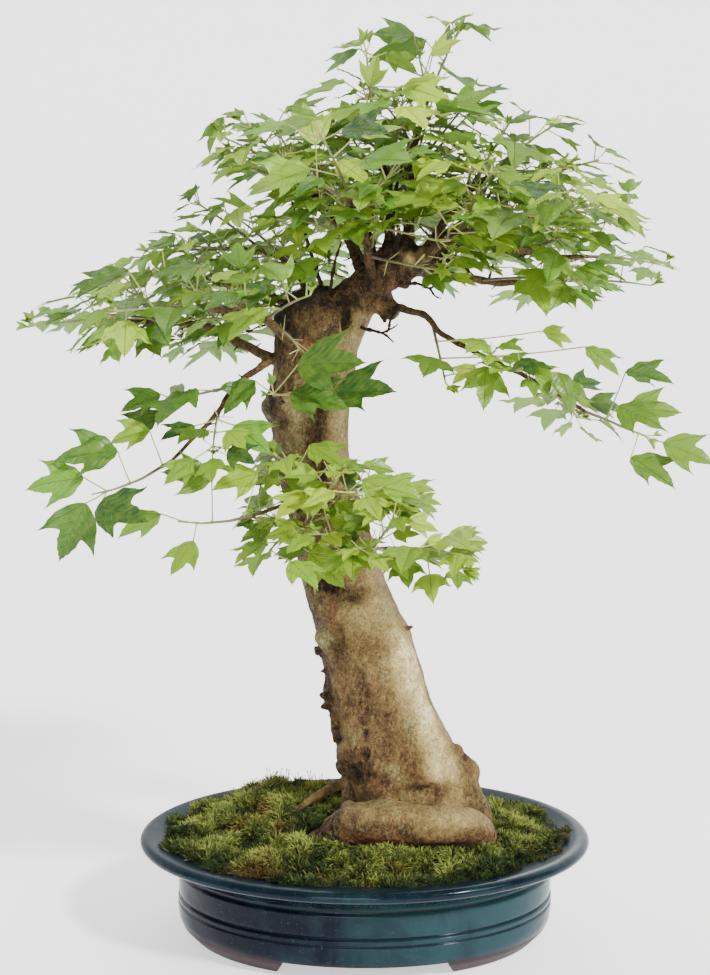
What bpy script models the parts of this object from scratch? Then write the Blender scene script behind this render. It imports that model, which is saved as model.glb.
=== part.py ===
"""Slanting trident maple bonsai with moss in an oval glazed pot, as a Blender script.

Metres, +Z up. The origin is the centre of the pot on the plane it stands on, and -Y is the side
it is seen from. Sizes are named in millimetres and MM turns them into metres.
"""

import math
import random

import bpy
import numpy as np
from mathutils import Matrix, Vector
from mathutils.bvhtree import BVHTree

MM = 0.001
GAP = 0.35  # between pieces that touch
UP = Vector((0, 0, 1))

# Pot: an oval bowl with a wide lip, two raised lines and a foot ring cut away at front and back
LIP_LENGTH, LIP_WIDTH, POT_HEIGHT = 400, 310, 87
POT_SIDES = 36
FOOT_HEIGHT, FLOOR_TOP = 10, 19
FOOT_DROP = 6  # the foot stands this far below the level that all heights are measured from
PLACE = (6, -2, FOOT_DROP)  # the pot's centre, from the middle under the whole tree
WALL_TOP_INSET = 43  # the inner wall's top edge, inside the lip's outer edge
# How far inside the lip's edge and how high: from under the floor out over the foot, up the
# outside, over the lip and down inside to the floor
POT_PROFILE = (
    (62, FOOT_HEIGHT), (59, -FOOT_DROP), (48.5, -FOOT_DROP), (43, 0), (36.5, 7), (33.5, 15),
    (33, 24), (36.5, 29), (34, 33), (33.5, 54), (36.5, 57.5), (33, 64), (10, 75), (1, 79),
    (0.5, 84), (4, POT_HEIGHT), (34, 82), (WALL_TOP_INSET, 77), (47, 26), (60, FLOOR_TOP),
)
FOOT_GAP_LENGTH, FOOT_GAP_SLOPE = 138, 8
DRAIN_RADIUS, DRAIN_X = 11, 72

# Soil and moss
MOUND_EDGE, MOUND_RISE = 77, 20  # the soil at the wall, and how much higher its middle is
MOSS_DEPTH, MOSS_LUMP = 12, 3.5
MOSS_HILL = (-82, 62, 44, 15)  # where the moss is heaped up: x, y, reach and rise
SOIL_RINGS = (0.4, 0.75, 1)  # of the half length and half width inside the wall
MOSS_RINGS = (1, 0.84, 0.65, 0.4)
MOSS_RIM = ((34, 82.1), (21, 84.2), (19, 87))  # on the lip: inset and height

# Trunk: height, centre x and y, and half widths along x and y, from the root ball up to the old cut
TRUNK = (
    (62, 49, 4, 60, 48), (95, 47, 4, 65, 54), (131, 41, 4, 59, 50), (168, 27, 6, 51, 46),
    (205, 14, 8, 45, 43), (259, 0, 10, 42, 41), (313, -19, 10, 37, 37), (366, -32, 10, 34, 34),
    (419, -46, 8, 33, 33), (471, -47, 6, 34, 34), (515, -42, 5, 36, 35), (548, -41, 5, 31, 30),
    (566, -41, 5, 18, 17),
)
TRUNK_SIDES, TRUNK_STEP = 18, 27
FLUTES, FLUTE_DEPTH, FLUTE_FADE = 7, 0.09, 95
# Burls and hollows: height, bearing in degrees (0 is +X, -90 the front), how far it stands out,
# its half height, and its half width in degrees
BURLS = (
    (466, 188, 9, 13, 24), (259, 232, 7, 13, 20), (392, -50, -5, 16, 20), (313, -100, -6, 14, 22),
    (146, 216, 9, 11, 16), (143, 238, 6, 9, 12), (141, 258, 8, 10, 13), (150, -14, 9, 13, 16),
    (545, 195, 6, 15, 30), (268, -6, 3, 10, 14), (205, 185, 5, 16, 18), (335, 60, 6, 20, 26),
    (240, 120, 5, 22, 24), (180, 80, 8, 20, 22), (500, 60, 6, 18, 26), (520, -100, -4, 16, 34),
)

# Roots and limbs: points, then the radius at each end, with any swelling in between
ROOTS = {
    "front": (((114, -28, 80), (104, -38, 94), (95, -50, 104), (76, -59, 111), (44, -64, 113),
               (10, -63, 115), (-12, -58, 111), (-30, -50, 98), (-48, -42, 70)),
              (8, 12, 16, 19, 20, 20, 18, 13, 8)),
    "left": (((0, 10, 138), (-22, 9, 127), (-40, 5, 118), (-56, 1, 109), (-70, -3, 99),
              (-84, -6, 70)), (9, 7, 5.5, 4.5, 4, 3.5)),
    "right": (((84, 14, 108), (102, 24, 99), (114, 30, 88), (122, 34, 66)), (12, 9, 7.5, 6)),
    "back": (((52, 44, 118), (58, 64, 108), (58, 80, 98), (53, 86, 66)), (14, 11, 9, 6)),
    "back_left": (((14, 36, 120), (-8, 54, 110), (-26, 68, 100), (-46, 82, 66)), (13, 10, 8, 6)),
}
LEADER = (
    ((-32, 5, 515), (-20, 5, 540), (-6, 5, 560), (12, 9, 577), (28, 13, 588), (46, 16, 592)),
    (24, 23, 19, 17, 19, 14),
)
# Limbs that carry the leafy stems: points, radius at the base and at the tip, leafy stems,
# blade length, how yellow the leaves are from 0 to 1, and the outline that they stay in
BOUGHS = {
    "left": (((-60, 4, 500), (-91, -10, 513), (-127, -20, 534), (-165, -14, 538),
              (-206, -8, 540)), 5.5, 2.4, 5, 44, 0.3, "crown"),
    "left_up": (((-42, 8, 548), (-60, 20, 584), (-84, 24, 598), (-116, 20, 600)),
                5, 2, 3, 42, 0.3, "crown"),
    "left_crown": (((0, 12, 572), (-14, 28, 608), (-32, 30, 634), (-52, 22, 654), (-78, 8, 672)),
                   5.5, 2, 4, 42, 0.3, "crown"),
    "apex_left": (((20, 14, 588), (22, 20, 634), (17, 12, 668), (8, 0, 704)),
                  6, 2.2, 2, 46, 0.3, "crown"),
    "apex": (((34, 16, 590), (40, 30, 645), (42, 36, 684), (50, 28, 714)),
             6, 2.2, 3, 54, 0.15, "crown"),
    "right_up": (((46, 14, 590), (66, 2, 622), (84, -8, 644), (106, -14, 664)),
                 5, 2, 3, 42, 0.35, "crown"),
    "right_high": (((50, 20, 592), (84, 30, 622), (116, 30, 644), (146, 22, 658)),
                   5, 2, 3, 42, 0.35, "crown"),
    "right": (((48, 12, 588), (80, 0, 606), (112, -16, 618), (136, -26, 626), (162, -32, 632)),
              7.5, 2.2, 4, 42, 0.4, "crown"),
    "right_low": (((100, -10, 613), (131, -6, 600), (160, 0, 594), (190, 6, 594)),
                  5, 2, 2, 44, 0.4, "crown"),
    "right_back": (((44, 20, 582), (90, 44, 574), (136, 60, 570), (178, 64, 572)),
                   5, 2, 2, 46, 0.35, "crown"),
    "right_drop": (((4, 4, 552), (30, -3, 551), (52, -9, 544), (63, -14, 531), (90, -24, 516),
                    (140, -38, 493), (184, -44, 466)), 3.8, 1.8, 2, 46, 0.5, "right_low"),
    "left_drop": (((-80, -6, 508), (-108, -40, 486), (-128, -66, 460), (-158, -84, 430)),
                  3.4, 1.5, 2, 48, 0.05, "left_low"),
    "left_twig": (((-50, -10, 388), (-70, -46, 386), (-94, -70, 382)), 2.4, 1.5, 1, 42, 0.5,
                  "left_low"),
    "front_left": (((-62, -16, 522), (-88, -60, 546), (-122, -88, 552)), 5, 2, 3, 46, 0.2, "crown"),
    "front_crown": (((6, -2, 574), (0, -40, 610), (-12, -76, 640)), 5, 2, 2, 46, 0.3, "crown"),
    "front_right": (((42, 4, 590), (74, -44, 610), (104, -78, 622)), 5, 2, 2, 46, 0.4, "crown"),
    "back_left": (((-46, 24, 526), (-78, 68, 556), (-110, 90, 566)), 5, 2, 2, 46, 0.2, "crown"),
    "back_crown": (((8, 20, 584), (2, 58, 620), (-10, 84, 640)), 5, 2, 2, 46, 0.2, "crown"),
    "back_right": (((40, 24, 588), (68, 62, 604), (104, 86, 610)), 5, 2, 2, 46, 0.2, "crown"),
    "middle_right": (((-22, -14, 346), (-4, -44, 350), (20, -64, 354)), 3, 1.5, 2, 40, 0.9,
                     "middle"),
    "middle_left": (((-46, -12, 366), (-58, -42, 366)), 2.6, 1.5, 1, 42, 0.8, "middle"),
    "middle_up": (((-34, -16, 384), (-28, -48, 394)), 2.6, 1.5, 2, 40, 0.9, "middle"),
    "spur": (((-66, -6, 470), (-74, -40, 478)), 2.6, 1.6, 1, 58, 0, "spur"),
}
BOUGH_SIDES, ROOT_SIDES, LEADER_SIDES = 5, 8, 10
TWIG_SIDES, TWIG_RADIUS = 4, 4  # limbs thinner than this at the base have fewer sides
ROOT_STEPS = 9

# The crown as it was pruned, seen from the front: x and z where each line of sight from the
# viewpoint crosses the upright plane through the pot's middle
VIEWPOINT = (-9, -1475, 608)
OUTLINES = {
    "crown": (
        (48, 806), (80, 804), (120, 784), (90, 750), (110, 740), (152, 732), (196, 700),
        (232, 670), (250, 624), (276, 586), (226, 564), (200, 554), (168, 520), (116, 528),
        (64, 532), (30, 524), (26, 548), (-22, 564), (-56, 554), (-72, 520), (-108, 478),
        (-146, 466), (-184, 480), (-192, 506), (-264, 498), (-266, 516), (-240, 524),
        (-312, 536), (-288, 550), (-278, 568), (-236, 588), (-186, 606), (-188, 624),
        (-160, 644), (-174, 680), (-146, 686), (-116, 724), (-64, 730), (-38, 748),
        (-36, 774), (8, 794),
    ),
    "left_low": (
        (-190, 512), (-80, 516), (-66, 472), (-66, 410), (-72, 358), (-178, 348), (-266, 344),
        (-294, 380), (-292, 438), (-220, 468),
    ),
    "right_low": (
        (28, 524), (116, 532), (166, 524), (202, 528), (264, 506), (298, 436), (274, 404),
        (238, 404), (168, 436), (116, 462), (74, 482), (34, 500),
    ),
    "middle": (
        (-88, 450), (26, 450), (74, 412), (116, 368), (102, 314), (70, 294), (4, 294),
        (-70, 294), (-124, 330), (-112, 384),
    ),
    "spur": ((-90, 540), (34, 540), (34, 440), (-90, 440)),
}
# The old cut and the leader show through a window that no leaf hangs in front of
WINDOW = (
    (-70, 566), (-38, 570), (2, 586), (22, 620), (62, 628), (72, 596), (34, 564), (26, 540),
    (0, 522), (-70, 530),
)

# Leafy stems: a pair of leaves at each node, turned across the pair before it
STEM_LENGTH, SHORTEST_STEM = 84, 30
STEM_RADIUS, STEM_TIP_RADIUS, STEM_SIDES = 1.6, 1.0, 4
STEM_ANGLE, STEM_RISE = 50, 14  # degrees from the bough, and above it
NODE_SPACING, NODE_LENGTH, NODE_APART = 25, 2.6, 7
STALK_RADIUS, STALK_SHARE = 0.75, 0.6  # a stalk's length as a share of its blade's
LEAF_THICKNESS = 1.6
LEAF_TRIES = 26
STEM_TRIES, LONGEST_BURIED = 24, 22
CLEAR = 1.2  # kept around each blade and stalk, all ways
FACING_OUT, FACING_FRONT = 0.32, 0.1  # how far the blades tip over, per unit up
LOW_FACING_FRONT = 0.5  # the same for the leaves below the crown
SINGLE_FACING_FRONT = 0.9  # and for those that stand apart
# Right half of the three-lobed outline for a blade 1 long: shoulder, side lobe's tip, notch
LEAF_HALF = ((0.34, 0.24), (0.52, 0.68), (0.18, 0.585))
LEAF_HUB = 0.36  # where the three main veins part

# Long shoots, and the leaves on them that stand apart: the blade's base and its tip
SHOOTS = {
    "left_drop_1": ((-158, -84, 430), (-182, -94, 416), (-204, -98, 408), (-222, -98, 404)),
    "left_drop_2": ((-108, -40, 486), (-124, -40, 484), (-142, -44, 480), (-158, -50, 474)),
    "left_twig_1": ((-94, -70, 382), (-112, -78, 379), (-134, -84, 378), (-154, -86, 380)),
    "right_drop_1": ((184, -44, 466), (200, -46, 460), (218, -46, 452), (234, -46, 446)),
    "spur_1": ((-74, -40, 478), (-76, -58, 481), (-75, -72, 484)),
}
SINGLE_LEAVES = {
    "left_drop_1": (
        ((-200, -100, 440), (-249, -112, 438)), ((-226, -112, 420), (-272, -118, 414)),
        ((-176, -84, 455), (-208, -92, 448)), ((-228, -92, 396), (-250, -106, 352)),
        ((-214, -120, 398), (-172, -146, 392)),
    ),
    "left_twig_1": (
        ((-125, -92, 416), (-164, -100, 424)), ((-88, -86, 420), (-124, -102, 412)),
        ((-168, -84, 386), (-202, -98, 370)),
        ((-140, -98, 366), (-158, -116, 342)),
    ),
    "right_drop_1": (
        ((216, -50, 500), (254, -64, 496)), ((208, -62, 472), (240, -88, 462)),
        ((222, -26, 467), (268, -28, 466)), ((248, -62, 442), (290, -72, 428)),
        ((220, -62, 430), (254, -84, 410)),
    ),
    "right_drop_2": (
        ((99, -60, 505), (97, -84, 474)), ((160, -60, 500), (171, -84, 470)),
        ((130, -70, 460), (158, -92, 436)),
        ((184, -40, 520), (212, -56, 500)), ((150, -20, 532), (178, -16, 524)),
    ),
    "spur_1": (
        ((-55, -84, 508), (-4, -112, 516)), ((-60, -86, 486), (-14, -110, 476)),
        ((-26, -60, 484), (24, -84, 488)), ((-76, -84, 496), (-60, -94, 534)),
        ((-92, -62, 494), (-118, -78, 470)),
    ),
}

COLOURS = {
    "pot": ((0.028, 0.075, 0.095), 0.18),
    "soil": ((0.045, 0.028, 0.018), 0.95),
    "moss": ((0.1, 0.17, 0.025), 0.95),
    "trunk": ((0.3, 0.22, 0.13), 0.8),
    "leaf": ((0.11, 0.26, 0.03), 0.5),
    "young_leaf": ((0.3, 0.42, 0.05), 0.5),
}


def clear_scene():
    for obj in list(bpy.data.objects):
        bpy.data.objects.remove(obj)


def material(name):
    made = bpy.data.materials.get(name)
    if made is None:
        made = bpy.data.materials.new(name)
        made.use_nodes = True
        shader = made.node_tree.nodes["Principled BSDF"]
        colour, roughness = COLOURS[name]
        shader.inputs["Base Color"].default_value = (*colour, 1)
        shader.inputs["Roughness"].default_value = roughness
    return made


def new_object(name, points, faces, finish=None, sharp_deg=40):
    """An object from points in metres, with its edges sharper than sharp_deg left sharp."""
    mesh = bpy.data.meshes.new(name)
    mesh.from_pydata([tuple(p) for p in points], [], faces)
    mesh.shade_smooth()
    mesh.set_sharp_from_angle(angle=math.radians(sharp_deg))
    obj = bpy.data.objects.new(name, mesh)
    bpy.context.scene.collection.objects.link(obj)
    if finish:
        mesh.materials.append(material(finish))
    return obj


def apply_boolean(obj, others, operation):
    """Joins or cuts obj with all the others at once, then removes them."""
    group = bpy.data.collections.new(obj.name + "_others")
    bpy.context.scene.collection.children.link(group)
    for other in others:
        bpy.context.scene.collection.objects.unlink(other)
        group.objects.link(other)
    modifier = obj.modifiers.new(operation, "BOOLEAN")
    modifier.operation = operation
    modifier.operand_type = "COLLECTION"
    modifier.collection = group
    modifier.solver = "EXACT"
    bpy.context.view_layer.update()
    graph = bpy.context.evaluated_depsgraph_get()
    joined = bpy.data.meshes.new_from_object(obj.evaluated_get(graph))
    obj.modifiers.clear()
    obj.data = joined
    for other in others:
        bpy.data.objects.remove(other)
    bpy.data.collections.remove(group)
    return obj


def smooth_path(points, count):
    """count points along a Catmull-Rom curve through the given ones, evenly spread by index."""
    rows = [np.array(p, float) for p in points]
    rows = [2 * rows[0] - rows[1], *rows, 2 * rows[-1] - rows[-2]]
    out = []
    for s in np.linspace(0, len(points) - 1, count):
        i = min(int(s), len(points) - 2)
        a, b, c, d = rows[i : i + 4]
        t = s - i
        out.append(0.5 * (2 * b + (c - a) * t + (2 * a - 5 * b + 4 * c - d) * t * t
                          + (3 * b - a - 3 * c + d) * t ** 3))
    return out


def tube(path, radii, sides, grow=0.0):
    """Points and faces of a closed round limb along path, in the path's own units."""
    path = [Vector(p) for p in path]
    across = None
    points, faces = [], []
    for i, here in enumerate(path):
        ahead = (path[min(i + 1, len(path) - 1)] - path[max(i - 1, 0)]).normalized()
        if across is None:
            across = ahead.cross(UP if abs(ahead.z) < 0.9 else Vector((1, 0, 0))).normalized()
        across = (across - ahead * across.dot(ahead)).normalized()
        over = ahead.cross(across)
        for k in range(sides):
            turn = 2 * math.pi * k / sides
            out = across * math.cos(turn) + over * math.sin(turn)
            points.append(here + out * (radii[i] + grow))
    for i in range(len(path) - 1):
        for k in range(sides):
            a, b = i * sides + k, i * sides + (k + 1) % sides
            faces += [(a, b, b + sides), (a, b + sides, a + sides)]
    faces.append(tuple(range(sides - 1, -1, -1)))
    faces.append(tuple(range(len(points) - sides, len(points))))
    return points, faces


def limb(points, radii, steps, sides, grow=0.0):
    """A tube through points with a radius given at each of them, both smoothed, in metres."""
    rows = smooth_path([(*p, r) for p, r in zip(points, radii)], steps)
    path = [Vector(row[:3]) * MM for row in rows]
    path[-1] += (path[-1] - path[-2]).normalized() * grow * MM
    return tube(path, [row[3] * MM for row in rows], sides, grow * MM)


def oval_body(rings, sides):
    """A closed body from ovals (half length, half width, height), where height may be a function
    of x and y. The first and the last oval are closed with a fan. All in millimetres."""
    points, faces = [], []

    def height(z, x, y):
        return z(x, y) if callable(z) else z

    for half_x, half_y, z in rings:
        for k in range(sides):
            turn = 2 * math.pi * k / sides
            x, y = half_x * math.cos(turn), half_y * math.sin(turn)
            points.append(Vector((x, y, height(z, x, y))) * MM)
    for i in range(len(rings) - 1):
        for k in range(sides):
            a, b = i * sides + k, i * sides + (k + 1) % sides
            faces.append((a, b, b + sides))
            faces.append((a, b + sides, a + sides))
    for ring, flip in ((0, True), (len(rings) - 1, False)):
        points.append(Vector((0, 0, height(rings[ring][2], 0, 0))) * MM)
        for k in range(sides):
            a, b = ring * sides + k, ring * sides + (k + 1) % sides
            faces.append((b, a, len(points) - 1) if flip else (a, b, len(points) - 1))
    return points, faces


def inset_oval(inset, z):
    return (LIP_LENGTH / 2 - inset, LIP_WIDTH / 2 - inset, z)


def make_pot():
    rings = [inset_oval(inset, z) for inset, z in POT_PROFILE]
    pot = new_object("pot", *oval_body(rings, POT_SIDES), "pot", sharp_deg=50)
    low, top, reach = -FOOT_DROP - 5, FOOT_HEIGHT - 0.5, LIP_WIDTH
    half_low, half_top = FOOT_GAP_LENGTH / 2 + FOOT_GAP_SLOPE, FOOT_GAP_LENGTH / 2
    corners = [(x, y, z) for y in (-reach / 2, reach / 2)
               for x, z in ((-half_low, low), (half_low, low), (half_top, top), (-half_top, top))]
    faces = [(0, 1, 2, 3), (7, 6, 5, 4), (0, 4, 5, 1), (1, 5, 6, 2), (2, 6, 7, 3), (3, 7, 4, 0)]
    cutters = [new_object("foot_gap", [Vector(c) * MM for c in corners], faces)]
    for side in (-1, 1):
        ends = [Vector((side * DRAIN_X, 0, z)) * MM for z in (FOOT_HEIGHT - 6, FLOOR_TOP + 6)]
        cutters.append(new_object("drain", *tube(ends, [DRAIN_RADIUS * MM] * 2, 16)))
    return apply_boolean(pot, cutters, "DIFFERENCE")


def soil_height(x, y):
    share = math.hypot(x / (LIP_LENGTH / 2 - WALL_TOP_INSET), y / (LIP_WIDTH / 2 - WALL_TOP_INSET))
    return MOUND_EDGE + MOUND_RISE * max(0, 1 - share * share)


def moss_lumps(x, y):
    """Cushions of moss, from a few crossing waves, between -1 and 1."""
    return (math.sin(x / 17 + 1.3 * math.sin(y / 23)) * math.cos(y / 15 + math.sin(x / 31))
            + 0.5 * math.sin(x / 8 + 2) * math.sin(y / 9 + x / 40)) / 1.5


def moss_height(x, y):
    cx, cy, reach, rise = MOSS_HILL
    hill = rise * math.exp(-((x - cx) ** 2 + (y - cy) ** 2) / reach ** 2)
    return soil_height(x, y) + MOSS_DEPTH + hill + MOSS_LUMP * moss_lumps(x, y)


def ground_cutters():
    """The trunk's foot and its roots, a gap larger, to cut their holes in the soil and the moss."""
    pieces = [new_object("foot", *trunk_skin(grow=GAP, below=4))]
    for points, radii in ROOTS.values():
        pieces.append(new_object("root", *limb(points, radii, ROOT_STEPS, ROOT_SIDES, grow=GAP)))
    return pieces


def make_soil():
    inner_x, inner_y = (s / 2 - WALL_TOP_INSET - GAP for s in (LIP_LENGTH, LIP_WIDTH))
    rings = [inset_oval(60.5, FLOOR_TOP + GAP), inset_oval(47 + GAP, 26)]
    rings += [(inner_x * f, inner_y * f, soil_height) for f in reversed(SOIL_RINGS)]
    soil = new_object("soil", *oval_body(rings, POT_SIDES), "soil")
    return apply_boolean(soil, ground_cutters(), "DIFFERENCE")


def make_moss():
    inner_x, inner_y = (s / 2 - WALL_TOP_INSET - GAP for s in (LIP_LENGTH, LIP_WIDTH))

    def under(x, y):
        return soil_height(x, y) + GAP

    rings = [(inner_x * f, inner_y * f, under) for f in SOIL_RINGS]
    rings += [inset_oval(inset, z + GAP) for inset, z in MOSS_RIM]
    rings += [(*inset_oval(MOSS_RIM[-1][0] + 6, 0)[:2], lambda x, y: moss_height(x, y) + 1)]
    rings += [(inner_x * f, inner_y * f, moss_height) for f in MOSS_RINGS]
    moss = new_object("moss", *oval_body(rings, POT_SIDES), "moss")
    return apply_boolean(moss, ground_cutters(), "DIFFERENCE")


def trunk_station(z):
    """Centre and half widths of the trunk at height z."""
    heights = [row[0] for row in TRUNK]
    i = min(max(np.searchsorted(heights, z) - 1, 0), len(TRUNK) - 2)
    share = (z - heights[i]) / (heights[i + 1] - heights[i])
    share = min(max(share, -0.5), 1)
    rows = smooth_path([row[1:] for row in TRUNK], (len(TRUNK) - 1) * 8 + 1)
    place = (i + share) * 8
    low = min(max(int(place), 0), len(rows) - 2)
    return rows[low] + (rows[low + 1] - rows[low]) * (place - low)


def trunk_point(z, bearing, grow=0.0):
    """A point on the bark at height z, bearing radians round from +X, in millimetres."""
    cx, cy, half_x, half_y = trunk_station(z)
    flute = FLUTE_DEPTH * math.exp(-(z - 85) / FLUTE_FADE) * math.cos(FLUTES * bearing + z / 60)
    out = 1 + min(flute, FLUTE_DEPTH)
    bump = grow
    for height, at, rise, half_z, half_deg in BURLS:
        turn = (bearing - math.radians(at) + math.pi) % (2 * math.pi) - math.pi
        near = ((z - height) / half_z) ** 2 + (turn / math.radians(half_deg)) ** 2
        bump += rise * math.exp(-near)
    x, y = math.cos(bearing), math.sin(bearing)
    return Vector((cx + x * (half_x * out + bump), cy + y * (half_y * out + bump), z))


def trunk_skin(sides=TRUNK_SIDES, step=TRUNK_STEP, grow=0.0, below=0.0):
    """Points and faces of the trunk from its root ball to the old cut, in metres."""
    low, high = TRUNK[0][0], TRUNK[-1][0]
    count = round((high - low) / step)
    heights = [low + (high - low) * i / count for i in range(count + 1)]
    points, faces = [], []
    for n, z in enumerate(heights):
        for k in range(sides):
            p = trunk_point(z, 2 * math.pi * k / sides, grow)
            if n == 0:
                p.z -= below
            points.append(p * MM)
    for i in range(count):
        for k in range(sides):
            a, b = i * sides + k, i * sides + (k + 1) % sides
            faces += [(a, b, b + sides), (a, b + sides, a + sides)]
    crown = trunk_station(high)
    points.append(Vector((crown[0], crown[1], high + 4 + grow)) * MM)
    top = count * sides
    faces += [(top + k, top + (k + 1) % sides, len(points) - 1) for k in range(sides)]
    faces.append(tuple(range(sides - 1, -1, -1)))
    return points, faces


def bough_path(name, steps):
    points, base, tip = BOUGHS[name][:3]
    radii = [base + (tip - base) * i / (len(points) - 1) for i in range(len(points))]
    return smooth_path([(*p, r) for p, r in zip(points, radii)], steps)


def make_trunk():
    """Trunk, roots, leader and boughs: one grown body."""
    trunk = new_object("trunk", *trunk_skin(), "trunk", sharp_deg=60)
    limbs = [new_object("leader", *limb(*LEADER, 9, LEADER_SIDES))]
    for points, radii in ROOTS.values():
        limbs.append(new_object("root", *limb(points, radii, ROOT_STEPS, ROOT_SIDES)))
    for name, (points, *_) in BOUGHS.items():
        rows = bough_path(name, len(points) + 1)
        path = [Vector(row[:3]) * MM for row in rows]
        sides = BOUGH_SIDES if rows[0][3] > TWIG_RADIUS else TWIG_SIDES
        limbs.append(new_object(name, *tube(path, [row[3] * MM for row in rows], sides)))
    return apply_boolean(trunk, limbs, "UNION")


def seen(point):
    """Where the line of sight to a point crosses the upright plane through the pot's middle."""
    eye = Vector(VIEWPOINT)
    along = (Vector(point) - eye) * (-eye.y / (point[1] - eye.y))
    return eye.x + along.x, eye.z + along.z


def is_inside(outline, x, z):
    inside = False
    for (x0, z0), (x1, z1) in zip(outline, outline[1:] + outline[:1]):
        if (z0 > z) != (z1 > z) and x < x0 + (x1 - x0) * (z - z0) / (z1 - z0):
            inside = not inside
    return inside


class Leaf:
    """One blade on its stalk: where the stalk starts and ends, the blade's axes and its form."""

    def __init__(self, start, end, ahead, up, length, fold, droop):
        self.start, self.end, self.length = start, end, length
        self.ahead = ahead.normalized()
        self.up = (up - self.ahead * up.dot(self.ahead)).normalized()
        self.right = self.ahead.cross(self.up)
        self.fold, self.droop = fold, droop

    def place(self, x, y, lift=0.0):
        """A point of the blade, x to the right and y ahead as shares of its length."""
        z = self.fold * abs(x) - self.droop * y * y
        flat = self.right * x + self.ahead * y + self.up * z
        return self.end + flat * self.length + self.up * lift

    def outline(self):
        right = [self.place(x, y) for x, y in LEAF_HALF]
        left = [self.place(-x, y) for x, y in reversed(LEAF_HALF)]
        return [*right, self.place(0, 1), *left]

    def stalk_end(self):
        """The three corners where the stalk meets the blade, anticlockwise seen from ahead."""
        return [self.end + self.right * STALK_RADIUS, self.end - self.up * 2 * STALK_RADIUS,
                self.end - self.right * STALK_RADIUS]

    def keep_out(self):
        """A fatter blade and stalk, as two small trees of triangles to test others against."""
        middle = self.place(0, 0.5)
        grown = [p + (p - middle).normalized() * CLEAR for p in (self.end, *self.outline())]
        hub = self.place(0, LEAF_HUB)
        lift = self.up * (LEAF_THICKNESS / 2 + CLEAR)
        points = [p + lift for p in grown] + [p - lift for p in grown] + [hub + lift, hub - lift]
        n = len(grown)
        faces = [(i, (i + 1) % n, 2 * n) for i in range(n)]
        faces += [(n + i, n + (i + 1) % n, 2 * n + 1) for i in range(n)]
        faces += [(i, (i + 1) % n, n + (i + 1) % n) for i in range(n)]
        faces += [(i, n + (i + 1) % n, n + i) for i in range(n)]
        blade = BVHTree.FromPolygons(points, faces)
        bare = self.start.lerp(self.end, min(0.5, 5 / (self.end - self.start).length))
        stalk = BVHTree.FromPolygons(*tube([bare, self.end], [STALK_RADIUS + CLEAR] * 2, 4))
        return blade, stalk


class Stem:
    """A leafy stem: its path in millimetres from the bough's middle line, and its leaves."""

    def __init__(self, name, bough, path):
        self.name, self.path = name, [Vector(p) for p in path]
        self.leaf_length, self.yellow = BOUGHS[bough][4:6]
        self.outline = OUTLINES[BOUGHS[bough][6]]
        self.to_front = FACING_FRONT if BOUGHS[bough][6] == "crown" else LOW_FACING_FRONT
        self.length = sum((b - a).length for a, b in zip(self.path, self.path[1:]))
        self.leaves = []
        self.start = 0

    def keep_out(self):
        """A fatter stem from where it leaves the bark, to test others against."""
        path = [self.at(s)[0] for s in np.linspace(self.start, 1, 6)]
        return BVHTree.FromPolygons(*tube(path, [STEM_RADIUS + CLEAR] * len(path), 4))

    def leave(self, bark):
        """Starts the stem where its full width is clear of the bark by the gap all the way on."""
        for step in range(200, -1, -1):
            share = step / 200
            for p in (*self.corners(share), self.at(share)[0]):
                near, normal, _, gap = bark.find_nearest(p)
                if gap < GAP or (p - near).dot(normal) < 0:
                    self.start = min(share + 0.005, 1)
                    return self
        return self

    def at(self, share):
        """The point at a share of the stem's length, and the way that the stem heads there."""
        left = min(max(share, 0), 1) * self.length
        for a, b in zip(self.path, self.path[1:]):
            step = (b - a).length
            if left <= step or b is self.path[-1]:
                return a + (b - a) * (left / step), (b - a) / step
            left -= step

    def frame(self, share):
        """The point at share, the way ahead there, and two directions across the stem."""
        point, ahead = self.at(share)
        across = ahead.cross(UP).normalized()
        return point, ahead, across, ahead.cross(across)

    def nearest_node(self, share):
        """A share where leaves already grow, if one is close enough to be the same node."""
        for at, _, _ in self.leaves:
            if at < 1 and abs(at - share) * self.length < NODE_APART:
                return at
        return share

    def radius(self, share):
        return STEM_RADIUS + (STEM_TIP_RADIUS - STEM_RADIUS) * share

    def corners(self, share):
        """The stem's four corners at share, with its faces 0 to 3 between them."""
        point, _, across, over = self.frame(share)
        out = []
        for k in range(STEM_SIDES):
            turn = math.radians(45 + 90 * k)
            out.append(point + (across * math.cos(turn) + over * math.sin(turn))
                       * self.radius(share))
        return out

    def face_of(self, share, towards):
        """The side of the stem that looks most nearly towards a direction."""
        _, _, across, over = self.frame(share)
        sides = [over, -across, -over, across]
        return max(range(STEM_SIDES), key=lambda k: sides[k].dot(towards))


def draft_stem(bough, n, draw):
    """A stem off a bough: the first grows from its tip and the others to either side in turn."""
    count, outline = BOUGHS[bough][3], OUTLINES[BOUGHS[bough][6]]
    rows = [Vector(row[:3]) for row in bough_path(bough, 33)]
    i = 32 if n == 0 else round(32 * (1 - 0.6 * n / max(count - 1, 1)))
    ahead = (rows[min(i + 1, 32)] - rows[i - 1]).normalized()
    side = ahead.cross(UP).normalized() * (1 if n % 2 else -1)
    angle = math.radians(draw.uniform(-6, 6) if n == 0 else STEM_ANGLE + draw.uniform(-16, 20))
    heading = ahead * math.cos(angle) + side * math.sin(angle)
    heading.z += math.tan(math.radians(STEM_RISE + draw.uniform(-14, 22))) * (n > 0)
    heading.normalize()
    length = STEM_LENGTH * draw.uniform(0.8, 1.15)
    while length > SHORTEST_STEM and not is_inside(outline,
                                                   *seen(rows[i] + heading * (length + 14))):
        length *= 0.93
    bend = Vector((draw.uniform(-5, 5), draw.uniform(-5, 5), -9)) * (length / STEM_LENGTH)
    path = [rows[i] + heading * (length * s) + bend * s * s for s in np.linspace(0, 1, 5)]
    return Stem(f"{bough}_{n + 1}", bough, path)


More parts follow.
